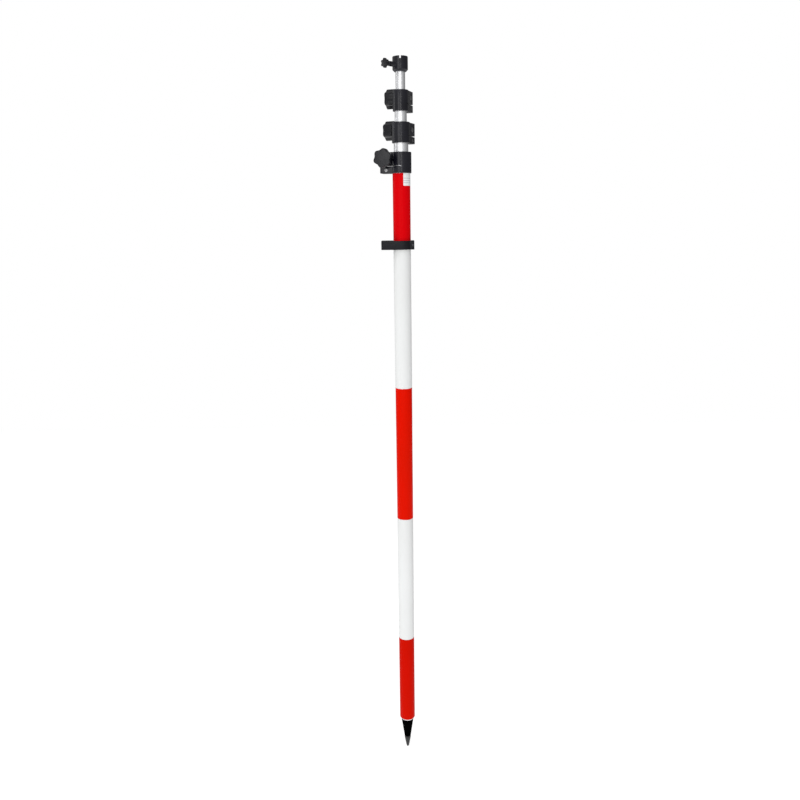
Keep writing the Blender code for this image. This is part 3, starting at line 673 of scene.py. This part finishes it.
TOP_RED = film_paint("top_red_film", (0.70, 0.001, 0.004), (0.62, 0.001, 0.003))
RED = film_paint("red_film", (0.74, 0.005, 0.0), (0.65, 0.007, 0.0))
# The lowest band's red is darker than the middle band's: painted shade for the light falling off toward the foot.
SHADED_FOOT_RED = film_paint("foot_red_painted_shade_film", (0.62, 0.004, 0.0), (0.54, 0.006, 0.0))
WHITE = film_paint("white_film", (0.80, 0.81, 0.81), (0.76, 0.77, 0.765))
BLACK_METAL = anodised_paint("black_anodised", (0.004, 0.004, 0.007), (0.007, 0.007, 0.012), 0.24, 0.34)
CONE_BLACK = anodised_paint("cone_black", (0.0005, 0.0005, 0.0005), (0.002, 0.002, 0.002), 0.40, 0.0)
BLACK_PLASTIC = moulded_paint("black_plastic", (0.004, 0.004, 0.006), (0.008, 0.008, 0.011), 0.28, 0.30)
BRACKET_PLASTIC = moulded_paint("bracket_plastic", (0.005, 0.005, 0.007), (0.008, 0.008, 0.011), 0.38, 0.17)
TUBE = drawn_paint("tube_aluminium", (0.86, 0.865, 0.88), 0.40)
TURNED = turned_paint("turned_steel", (0.05, 0.05, 0.05), 0.32)
PLATED = plated_paint("plated_steel", (0.27, 0.27, 0.275), 0.30)
BLACKENED = plated_paint("blackened_steel", (0.05, 0.05, 0.055), 0.30)
BRASS = plated_paint("machined_brass", (0.72, 0.52, 0.20), 0.26)
NYLON = nylon_paint()
FLUID = fluid_paint()
GLASS = glass_paint()
INK = ink_paint()


# --- the outer tube, its sleeves and the point -------------------------------------------------


def make_tube(node, body):
    """A tube with both ends eased."""
    low, high = span(node)
    radius = half_width(node)
    tube = lathe(node + "_fine", ring(radius - TUBE_WALL, radius, low, high), TUBE)
    return show(tube, body, "tube_aluminium", node)


def make_sleeves():
    """The bands, each with a small bead where its film ends. The lowest turns in under the tube."""
    tube_radius = half_width("outer_tube")
    paints = {
        # the lowest band takes the darker red, painted shade for the dimmer light near the foot
        "red_foot_sleeve": SHADED_FOOT_RED,
        "lower_white_sleeve": WHITE,
        "middle_red_sleeve": RED,
        "upper_white_sleeve": WHITE,
        "top_red_sleeve": TOP_RED,
    }
    for node, paint in paints.items():
        low, high = span(node)
        radius = half_width(node)
        bore = tube_radius + FILM_GAP
        if node == "red_foot_sleeve":
            foot = span("outer_tube")[0]
            outer = arc((radius - TURN_IN, low + TURN_IN), TURN_IN, 0, -90, 10)
            inner = arc((radius - TURN_IN, low + TURN_IN), TURN_IN - FILM, -90, 0, 10)
            profile = [(radius, high)] + outer + inner + [(bore, foot + 1.0 * MM), (bore, high)]
            sleeve = lathe(node + "_film", profile, paint, ease=0.08 * MM)
        else:
            sleeve = lathe(node + "_film", ring(bore, radius, low, high), paint, ease=0.15 * MM)
        slot = "white_film" if paint is WHITE else "red_film"
        show(sleeve, "pole", slot, node)


def make_label():
    """A thin sticker with rounded corners, bent round the top sleeve."""
    low, high = span("blank_label")
    shown = frame["nodes"]["blank_label"].data.vertices
    angles = sorted(math.degrees(math.atan2(corner.co.y, corner.co.x)) for corner in shown)
    start, end = angles[0], angles[-1]
    inner = half_width("top_red_sleeve") + LABEL_GLUE
    outer = inner + LABEL_THICKNESS
    length = math.radians(end - start) * outer
    verts, faces = [], []
    for i in range(LABEL_COLUMNS + 1):
        along = length * i / LABEL_COLUMNS
        short = max(0.0, LABEL_CORNER - min(along, length - along))
        drop = LABEL_CORNER - math.sqrt(LABEL_CORNER**2 - short**2)
        turn = math.radians(start) + along / outer
        for radius in (outer, inner):
            for height in (low + drop, high - drop):
                verts.append((radius * math.cos(turn), radius * math.sin(turn), height))
    for i in range(LABEL_COLUMNS):
        a, b = 4 * i, 4 * (i + 1)
        faces += [(a, b, b + 1, a + 1), (a + 3, b + 3, b + 2, a + 2)]
        faces += [(a + 2, b + 2, b, a), (a + 1, b + 1, b + 3, a + 3)]
    last = 4 * LABEL_COLUMNS
    faces += [(0, 1, 3, 2), (last + 2, last + 3, last + 1, last)]
    label = made("label_sticker", verts, faces, label_paint(low, high))
    show(label, "pole", "label_paper", "blank_label")


def make_point():
    """The bare plug's ring, the black cone with its turned groove, and the steel point."""
    plug_low, plug_high = span("foot_plug")
    holder_low = span("point_holder")[0]
    shoulder = reach("point_holder", Vector((0, 0, 1)))
    point_low, point_high = span("steel_point")
    tube_low = span("outer_tube")[0]
    inside = half_width("outer_tube") - TUBE_WALL - FIT
    cone_radius = half_width("point_holder")
    cone_top = plug_low - FIT
    point_radius = half_width("steel_point")

    film_low = span("red_foot_sleeve")[0] + FILM_REVEAL
    seat = shoulder + PLUG_SEAT
    plug = [(0.0, plug_high), (inside, plug_high), (inside, tube_low - PLUG_GAP)]
    plug += arc((PLUG_NECK + 0.5 * MM, tube_low - 0.6 * MM), PLUG_ROUND, 0, -90, 4)
    plug += [(PLUG_NECK, film_low), (PLUG_NECK, plug_low), (PLUG_BORE, plug_low)]
    plug += [(PLUG_BORE, seat), (0.0, seat)]
    show(lathe("foot_plug_turned", plug, TUBE, ease=0.2 * MM), "pole", "tube_aluminium", "foot_plug")

    band_low = cone_top - HOLDER_BAND
    slope = (cone_radius - point_radius) / (band_low - holder_low)
    cone = [(0.0, shoulder), (HOLDER_SHANK, shoulder), (HOLDER_SHANK, cone_top)]
    cone += [(cone_radius, cone_top), (cone_radius, band_low)]
    for drop in GROOVE_DROPS:
        height = cone_top - drop
        radius = point_radius + slope * (height - holder_low)
        cone.append((radius + slope * GROOVE_HALF, height + GROOVE_HALF))
        cone.append((radius - GROOVE_DEPTH, height))
        cone.append((radius - slope * GROOVE_HALF, height - GROOVE_HALF))
    bore_top = point_high + FIT
    cone += [(point_radius, holder_low), (HOLDER_BORE, holder_low)]
    cone += [(HOLDER_BORE, bore_top), (0.0, bore_top)]
    holder = lathe("point_holder_turned", cone, CONE_BLACK, ease=0.3 * MM)
    show(holder, "pole", "black_anodised", "point_holder")

    top = holder_low - FIT
    point = [(0.0, point_high), (POINT_SHANK, point_high), (POINT_SHANK, top), (point_radius, top)]
    point += [(point_radius, top - POINT_STRAIGHT), (POINT_NOSE_RADIUS, point_low + POINT_NOSE_HEIGHT)]
    point += [(POINT_END_RADIUS, point_low), (0.0, point_low)]
    show(lathe("steel_point_turned", point, TURNED, ease=0.25 * MM), "pole", "bare_steel", "steel_point")


# --- the clamps --------------------------------------------------------------------------------


def collar_outline(radius, ear_end, ear_half):
    """The ring, running into an ear along +X with small rounded corners."""
    start = math.degrees(math.asin(ear_half / radius))
    outline = arc((0, 0), radius, start, 360 - start, 96)
    corner = ear_end - EAR_CORNER
    side = ear_half - EAR_CORNER
    outline += arc((corner, -side), EAR_CORNER, -90, 0, 6)
    outline += arc((corner, side), EAR_CORNER, 0, 90, 6)
    return outline


def make_clamp(number, body):
    """A split collar with its nut pocket, its bolt and pinch screw, in a frame whose +X is the ear and +Y the
    knob.
    """
    name = f"lock_{number}"
    origin, outward = joint_line(f"knob_{number}_turn")
    azimuth = math.atan2(outward.y, outward.x) - math.pi / 2
    turn = Matrix.Rotation(azimuth, 4, "Z")
    ear = Vector((math.cos(azimuth), math.sin(azimuth), 0))
    bolt_at = origin.xy.length
    low, high = span(f"{name}_collar")
    radius = reach(f"{name}_collar", -ear)
    ear_end = reach(f"{name}_collar", ear)
    ear_half = reach(f"{name}_pinch_screw", outward)
    screw_low, screw_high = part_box(f"{name}_pinch_screw")
    screw_middle = (screw_low + screw_high) / 2
    pinch_at = screw_middle.dot(ear)
    pinch_height = screw_middle.z
    bolt_height = origin.z
    shoulder = low + COLLAR_LOWER
    carried = half_width(f"section_tube_{number + 1}")
    own = half_width("outer_tube") if number == 1 else half_width(f"section_tube_{number}")

    outline = collar_outline(radius, ear_end, ear_half)
    collar = slab(f"{name}_collar_cut", outline, low, high, BLACK_METAL, COLLAR_EASE)
    saw_back = radius * math.cos(math.radians(SAW_REACH))
    beyond = ear_end + CLEAR
    head_seat = -ear_half + BOLT_HEAD_HEIGHT
    screw_seat = ear_half - PINCH_HEAD_HEIGHT
    nut_seat = -ear_half + NUT_POCKET_DEPTH

    def across(hole, height, at, start, end, sides=SMALL):
        """A cutting rod across the ear."""
        return rod(hole, (at, start, height), (at, end, height), sides)

    carve(
        collar,
        rod(own + FIT, (0, 0, low - CLEAR), (0, 0, shoulder), FINE),
        rod(carried + FIT, (0, 0, shoulder - CLEAR), (0, 0, high + CLEAR), FINE),
        brick((0, -SPLIT / 2, low - CLEAR), (beyond, SPLIT / 2, high + CLEAR)),
        brick((saw_back, -WIDE, shoulder), (beyond, WIDE, shoulder + SAW_CUT)),
        across(BOLT_RADIUS + FIT, bolt_height, bolt_at, -WIDE, WIDE),
        across(BOLT_HEAD_RADIUS + 2 * FIT, bolt_height, bolt_at, -WIDE, head_seat + 2 * FIT, HEXAGON),
        across(PINCH_RADIUS + FIT, pinch_height, pinch_at, -WIDE, WIDE),
        across(PINCH_HEAD_RADIUS + FIT, pinch_height, pinch_at, screw_seat - FIT, WIDE),
        across(NUT_POCKET_RADIUS, pinch_height, pinch_at, -WIDE, nut_seat, HEXAGON),
    )
    show(settle(collar, turn), body, "black_anodised", f"{name}_collar")

    along_y = Matrix.Rotation(math.radians(-90), 4, "X")
    bolt_frame = turn @ Matrix.Translation((bolt_at, 0, bolt_height)) @ along_y
    head_end = -ear_half + BOLT_HEAD_SUNK
    inward, along = BOLT_HEAD_CHAMFER
    profile = [(0.0, head_seat), (BOLT_HEAD_RADIUS, head_seat), (BOLT_HEAD_RADIUS, -ear_half + along)]
    profile += [(BOLT_HEAD_RADIUS - inward, head_end), (0.0, head_end)]
    head = lathe("head", profile, PLATED, HEXAGON, ease=0)
    bolt_end = reach(f"{name}_clamp_bolt", outward)
    shank_start = head_seat - 0.5 * MM
    shank = threaded("shank", BOLT_RADIUS, BOLT_PITCH, BOLT_THREAD, shank_start, bolt_end, PLATED)
    bolt = settle(joined(f"{name}_clamp_bolt_cut", head, shank), bolt_frame)
    show(bolt, body, "bare_steel", f"{name}_clamp_bolt")

    screw_frame = turn @ Matrix.Translation((pinch_at, 0, pinch_height)) @ along_y
    sizes = (PINCH_HEAD_RADIUS, PINCH_HEAD_HEIGHT, PINCH_RADIUS, ear_half, 2 * ear_half)
    screw = socket_screw(f"{name}_pinch_screw_cut", *sizes, PLATED)
    show(settle(screw, screw_frame), body, "bare_steel", f"{name}_pinch_screw")


def socket_screw(name, head_radius, head_height, radius, top, length, paint):
    """A cap screw along Z with a knurled head, a hexagon socket and a threaded shank."""
    low = top - head_height
    knurls = 24
    knurl_depth = 0.12 * MM

    def knurl(r, height, turn):
        on_side = abs(r - head_radius) < 0.02 * MM and low < height < top
        return r - knurl_depth * (0.5 + 0.5 * math.cos(knurls * turn)) if on_side else r

    head = lathe("head", disc(head_radius, low, top), paint, FINE, ease=0.35 * MM, wobble=knurl)
    socket = rod(head_radius * 0.55, (0, 0, top - head_height * 0.5), (0, 0, top + 1 * MM), HEXAGON)
    carve(head, socket)
    shank = threaded("shank", radius, 0.8 * MM, 0.3 * MM, top - length + 0.5 * MM, low + 0.4 * MM, paint)
    return joined(name, head, shank)


def make_knob(number):
    """The knob with its rounded edges, its insert and its washer, about the bolt's axis."""
    name = f"lock_{number}"
    origin, outward = joint_line(f"knob_{number}_turn")
    azimuth = math.atan2(outward.y, outward.x) - math.pi / 2
    along_y = Matrix.Rotation(math.radians(-90), 4, "X")
    axis_frame = Matrix.Translation(origin) @ Matrix.Rotation(azimuth, 4, "Z") @ along_y

    def extent(node):
        """Where a node starts and ends along the bolt, from the joint's origin."""
        return -reach(node, -outward, origin), reach(node, outward, origin)

    base, top = extent(f"{name}_knob")
    outline = lobed(KNOB_LOBES, KNOB_TIP_RADIUS, KNOB_VALLEY_RADIUS, FIRST_LOBES[number], 24)
    body = slab(f"{name}_knob_moulded", outline, base + KNOB_HUB_HEIGHT, top, BLACK_PLASTIC, KNOB_EASE, 6)
    hub = rod(KNOB_HUB_RADIUS, (0, 0, base), (0, 0, base + KNOB_HUB_HEIGHT + 3 * MM), FINE)
    carve(body, hub, operation="UNION")
    carve(body, rod(KNOB_BORE, (0, 0, base - 1 * MM), (0, 0, top - KNOB_ROOF)))
    show(settle(body, axis_frame), f"knob_{number}", "black_plastic", f"{name}_knob")

    profile = ring(BOLT_RADIUS + FIT, KNOB_BORE - FIT, *extent(f"{name}_knob_insert"))
    insert = lathe(f"{name}_insert_cut", profile, BRASS, SMALL, axis_frame)
    show(insert, f"knob_{number}", "brass", f"{name}_knob_insert")

    profile = ring(BOLT_RADIUS + FIT, WASHER_RADIUS, *extent(f"{name}_thrust_washer"))
    washer = lathe(f"{name}_washer_cut", profile, PLATED, FINE, axis_frame, 0.2 * MM)
    show(washer, f"washer_{number}", "bare_steel", f"{name}_thrust_washer")


# --- the socket on top -------------------------------------------------------------------------


def make_socket():
    """The black socket with its key slot and boss, and the thumb screw with its ribbed head."""
    low, high = span("top_socket")
    origin, outward = joint_line("thumb_turn")
    azimuth = math.atan2(outward.y, outward.x)
    floor_top = high - SOCKET_DEPTH
    floor_low = floor_top - SOCKET_FLOOR
    tube_bore = half_width("section_tube_4") + FIT
    inward, down = RIM_CHAMFER
    profile = [(SOCKET_RADIUS - inward, high), (SOCKET_RADIUS, high - down)]
    profile += [(SOCKET_RADIUS, low + SOCKET_CHAMFER), (SOCKET_RADIUS - SOCKET_CHAMFER, low)]
    profile += [(tube_bore, low), (tube_bore, floor_low), (SOCKET_HOLE, floor_low), (SOCKET_HOLE, floor_top)]
    profile += [(SOCKET_BORE, floor_top), (SOCKET_BORE, high - down), (SOCKET_BORE + inward, high)]
    socket = lathe("top_socket_turned", profile, BLACK_METAL, FINE)
    aim = Matrix.Rotation(azimuth, 4, "Z") @ Matrix.Translation((0, 0, origin.z))
    boss = settle(rod(BOSS_RADIUS, (BOSS_START, 0, 0), (BOSS_END, 0, 0)), aim)
    carve(socket, boss, operation="UNION")
    pin_low, pin_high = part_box("socket_pin")
    pin_height = (pin_low.z + pin_high.z) / 2
    carve(
        socket,
        settle(rod(BOSS_BORE, (BOSS_BORE_START, 0, 0), (BOSS_END + 2 * MM, 0, 0)), aim),
        brick((-KEY_WIDTH / 2, -WIDE, high - KEY_DEPTH), (KEY_WIDTH / 2, 0, high + 1 * MM)),
        rod(PIN_RADIUS, (-WIDE, 0, pin_height), (WIDE, 0, pin_height)),
    )
    bevel_edges(socket, SOCKET_EASE, 2, 50)
    show(socket, "section_4", "black_anodised", "top_socket")

    outward_frame = aim @ Matrix.Rotation(math.radians(90), 4, "Y")
    start, end = -reach("thumb_knob", -outward, origin), reach("thumb_knob", outward, origin)
    outline = lobed(THUMB_LOBES, THUMB_TIP_RADIUS, THUMB_VALLEY_RADIUS, 0, 28, 0.8)
    hub_end = start + THUMB_HUB_HEIGHT
    head = slab("thumb_knob_moulded", outline, hub_end, end, BLACK_PLASTIC, THUMB_EASE, 4)
    carve(head, rod(THUMB_HUB_RADIUS, (0, 0, start), (0, 0, hub_end + 2 * MM)), operation="UNION")
    carve(head, rod(BOSS_BORE, (0, 0, start - 1 * MM), (0, 0, end - THUMB_ROOF)))
    show(settle(head, outward_frame), "thumb_screw", "black_plastic", "thumb_knob")

    stem_low, stem_high = -reach("thumb_stem", -outward, origin), reach("thumb_stem", outward, origin)
    stem = threaded("thumb_stem_cut", STEM_RADIUS, STEM_PITCH, STEM_THREAD, stem_low, stem_high, BLACKENED)
    show(settle(stem, outward_frame), "thumb_screw", "bare_steel", "thumb_stem")


# --- the level bracket -------------------------------------------------------------------------


def make_bracket():
    """The moulded bracket: a block for the level, the ring round the pole and the split ear."""
    low, high = span("level_bracket")
    box_low, box_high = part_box("level_bracket")
    left, right = box_low.x, box_high.x
    cup_low, cup_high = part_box("vial_cup")
    vial_at = (cup_low.x + cup_high.x) / 2
    screw_low, screw_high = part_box("bracket_pinch_screw")
    screw_x = (screw_low.x + screw_high.x) / 2
    middle = (low + high) / 2
    start = math.degrees(math.asin(BRACKET_EAR_HALF / BRACKET_RADIUS))
    side = BRACKET_RADIUS - BRACKET_CORNER
    outline = arc((0, 0), BRACKET_RADIUS, start, 90, 24)
    outline += arc((left + BRACKET_CORNER, side), BRACKET_CORNER, 90, 180, 8)
    outline += arc((left + BRACKET_CORNER, -side), BRACKET_CORNER, 180, 270, 8)
    outline += arc((0, 0), BRACKET_RADIUS, -90, -start, 24)
    outline += [(right, -BRACKET_EAR_HALF), (right, BRACKET_EAR_HALF)]
    bracket = slab("level_bracket_moulded", outline, low, high, BRACKET_PLASTIC, BRACKET_EASE, 4)
    floor = high - VIAL_DEPTH
    half_split = BRACKET_SPLIT / 2
    head_end = -BRACKET_EAR_HALF + BRACKET_HEAD_DEPTH
    nut_start = BRACKET_EAR_HALF - BRACKET_NUT_DEPTH
    tools = [
        rod(BRACKET_BORE, (0, 0, low - PAST), (0, 0, high + PAST), FINE),
        brick((BRACKET_SPLIT_START, -half_split, low - PAST), (right + PAST, half_split, high + PAST)),
        rod(VIAL_POCKET, (vial_at, 0, floor), (vial_at, 0, high + PAST), FINE),
        rod(BRACKET_SCREW_HOLE, (screw_x, -WIDE, middle), (screw_x, WIDE, middle)),
        rod(BRACKET_POCKET_RADIUS, (screw_x, -WIDE, middle), (screw_x, head_end, middle)),
        rod(BRACKET_POCKET_RADIUS, (screw_x, nut_start, middle), (screw_x, WIDE, middle), HEXAGON),
    ]
    for index in range(3):
        node_low, node_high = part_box(f"level_screw_{index + 1}")
        x, y = (node_low.x + node_high.x) / 2, (node_low.y + node_high.y) / 2
        tools.append(rod(LEVEL_SCREW_HOLE, (x, y, low - 1 * MM), (x, y, floor + 1 * MM)))
        tools.append(rod(LEVEL_HEAD_HOLE, (x, y, low - 1 * MM), (x, y, low + LEVEL_HEAD_DEPTH)))
    carve(bracket, *tools)
    show(bracket, "bracket", "black_plastic", "level_bracket")

    profile = ring(LINER_BORE, half_width("bracket_liner"), *span("bracket_liner"))
    show(lathe("bracket_liner_moulded", profile, NYLON), "liner", "nylon", "bracket_liner")

    along = Matrix.Translation((screw_x, 0, middle)) @ Matrix.Rotation(math.radians(90), 4, "X")
    sizes = (BRACKET_HEAD_RADIUS, BRACKET_HEAD_HEIGHT, BRACKET_SCREW_RADIUS)
    sizes += (BRACKET_EAR_HALF, 2 * BRACKET_EAR_HALF)
    screw = socket_screw("bracket_pinch_screw_cut", *sizes, BLACKENED)
    show(settle(screw, along), "bracket", "bare_steel", "bracket_pinch_screw")
    make_vial(vial_at, cup_low.z, cup_high.z)


def make_vial(vial_at, low, rim):
    """The round level: brass cup, green fluid with its bubble, domed glass and the ring printed on it."""
    seat = Matrix.Translation((vial_at, 0, 0))
    radius = VIAL_POCKET - CUP_GAP
    bore = radius - CUP_WALL
    bottom = low + CUP_FLOOR
    cup = [(0.0, bottom), (bore, bottom), (bore, rim), (radius, rim), (radius, low), (0.0, low)]
    show(lathe("vial_cup_turned", cup, BRASS, FINE, seat), "bracket", "brass", "vial_cup")

    fluid_low, fluid_high = span("vial_fluid")
    inside = bore - FIT
    fluid = [(out, fluid_high - depth) for out, depth in BUBBLE]
    fluid += [(inside, fluid_high), (inside, fluid_low), (0.0, fluid_low)]
    show(lathe("vial_fluid_filled", fluid, FLUID, FINE, seat), "bracket", "level_fluid", "vial_fluid")

    dome = [(0.0, rim)]
    for angle in range(15, 91, 15):
        turn = math.radians(angle)
        dome.append((inside * math.sin(turn), rim - DOME_RISE * (1 - math.cos(turn))))
    dome += [(inside, fluid_high + FIT), (0.0, fluid_high + FIT)]
    glass = lathe("vial_glass_domed", dome, GLASS, FINE, seat, ease=0.1 * MM)
    show(glass, "bracket", "level_glass", "vial_glass")

    mark_low, mark_high = (fluid_high + height for height in MARK_HEIGHTS)
    profile = ring(*MARK_RADII, mark_low, mark_high)
    mark = lathe("vial_ring_mark", profile, INK, FINE, seat, ease=0.02 * MM)
    show(mark, "bracket", "black_plastic")


# --- the pieces that are hidden at rest keep their CAD meshes ----------------------------------


def paint_hidden():
    """Materials for the CAD nodes that show as they are."""
    paints = {"nylon": NYLON, "bare_steel": PLATED, "brass": BRASS}
    slots = {entry["node"]: entry["material_slot"] for entry in frame["record"]["subparts"]}
    for node, obj in frame["nodes"].items():
        if slots.get(node) in paints:
            obj.data.materials.clear()
            obj.data.materials.append(paints[slots[node]])


# --- floor, light and camera -------------------------------------------------------------------


def make_floor():
    """A wide white sheet just under the point, which glows a little so that it has no edge."""
    mesh = bpy.data.meshes.new("floor")
    signs = ((-1, -1), (1, -1), (1, 1), (-1, 1))
    corners = [(x * FLOOR_HALF, y * FLOOR_HALF, -FLOOR_DROP) for x, y in signs]
    mesh.from_pydata(corners, [], [(0, 1, 2, 3)])
    floor = bpy.data.objects.new("floor", mesh)
    bpy.context.scene.collection.objects.link(floor)
    paint = Paint("floor_paper", (0.8, 0.8, 0.8), 0.9)
    paint.shader.inputs["Emission Color"].default_value = (1, 1, 1, 1)
    paint.shader.inputs["Emission Strength"].default_value = FLOOR_GLOW
    grain = paint.noise(300, detail=2.0)
    paint.bump(grain, 0.0001, 0.2)
    mesh.materials.append(paint.material)


def make_world():
    """White behind the object. What lights it is bright at the left and dark at the right and behind."""
    world = bpy.data.worlds.new("studio")
    bpy.context.scene.world = world
    world.use_nodes = True
    tree = world.node_tree
    background = tree.nodes["Background"]
    place = tree.nodes.new("ShaderNodeTexCoord")
    aim = tree.nodes.new("ShaderNodeVectorMath")
    aim.operation = "DOT_PRODUCT"
    aim.inputs[1].default_value = BRIGHT_SIDE
    tree.links.new(place.outputs["Generated"], aim.inputs[0])
    spread = tree.nodes.new("ShaderNodeMapRange")
    spread.inputs["From Min"].default_value = -1.0
    spread.inputs["From Max"].default_value = 0.6
    spread.inputs["To Min"].default_value = DARK_LEVEL
    spread.inputs["To Max"].default_value = BRIGHT_LEVEL
    tree.links.new(aim.outputs["Value"], spread.inputs["Value"])
    path = tree.nodes.new("ShaderNodeLightPath")
    choose = tree.nodes.new("ShaderNodeMix")
    choose.data_type = "FLOAT"
    tree.links.new(path.outputs["Is Camera Ray"], choose.inputs[0])
    tree.links.new(spread.outputs["Result"], choose.inputs[2])
    choose.inputs[3].default_value = 1.0
    tree.links.new(choose.outputs[0], background.inputs["Strength"])
    background.inputs["Color"].default_value = (1, 1, 1, 1)


def soft_light(name, place, target, width, height, watts):
    data = bpy.data.lights.new(name, "AREA")
    data.shape = "RECTANGLE"
    data.size = width
    data.size_y = height
    data.energy = watts
    light = bpy.data.objects.new(name, data)
    light.location = place
    light.rotation_euler = (Vector(target) - Vector(place)).to_track_quat("-Z", "Y").to_euler()
    bpy.context.scene.collection.objects.link(light)


def make_lights():
    """A tall strip at the front, a soft box left of it, a narrow one at the far left and one overhead."""
    for light in LIGHTS:
        soft_light(*light)


def make_camera():
    """At the front, at about the height of the bracket, looking down at the pole's middle."""
    data = bpy.data.cameras.new("camera")
    data.sensor_width = 36.0
    data.lens = CAMERA_LENS
    data.shift_y = CAMERA_SHIFT
    data.clip_end = 200.0
    camera = bpy.data.objects.new("camera", data)
    tilt = Matrix.Rotation(math.radians(90 - CAMERA_DIP), 4, "X")
    roll = Matrix.Rotation(math.radians(CAMERA_ROLL), 4, "Z")
    camera.matrix_world = Matrix.Translation(CAMERA_PLACE) @ tilt @ roll
    bpy.context.scene.collection.objects.link(camera)
    bpy.context.scene.camera = camera


def main():
    make_tube("outer_tube", "pole")
    for number in (2, 3, 4):
        make_tube(f"section_tube_{number}", f"section_{number}")
    make_sleeves()
    make_label()
    make_point()
    for number, body in ((1, "pole"), (2, "section_2"), (3, "section_3")):
        make_clamp(number, body)
        make_knob(number)
    make_socket()
    make_bracket()
    paint_hidden()
    make_floor()
    make_world()
    make_lights()
    make_camera()
    bpy.context.scene.view_settings.view_transform = "Standard"


main()
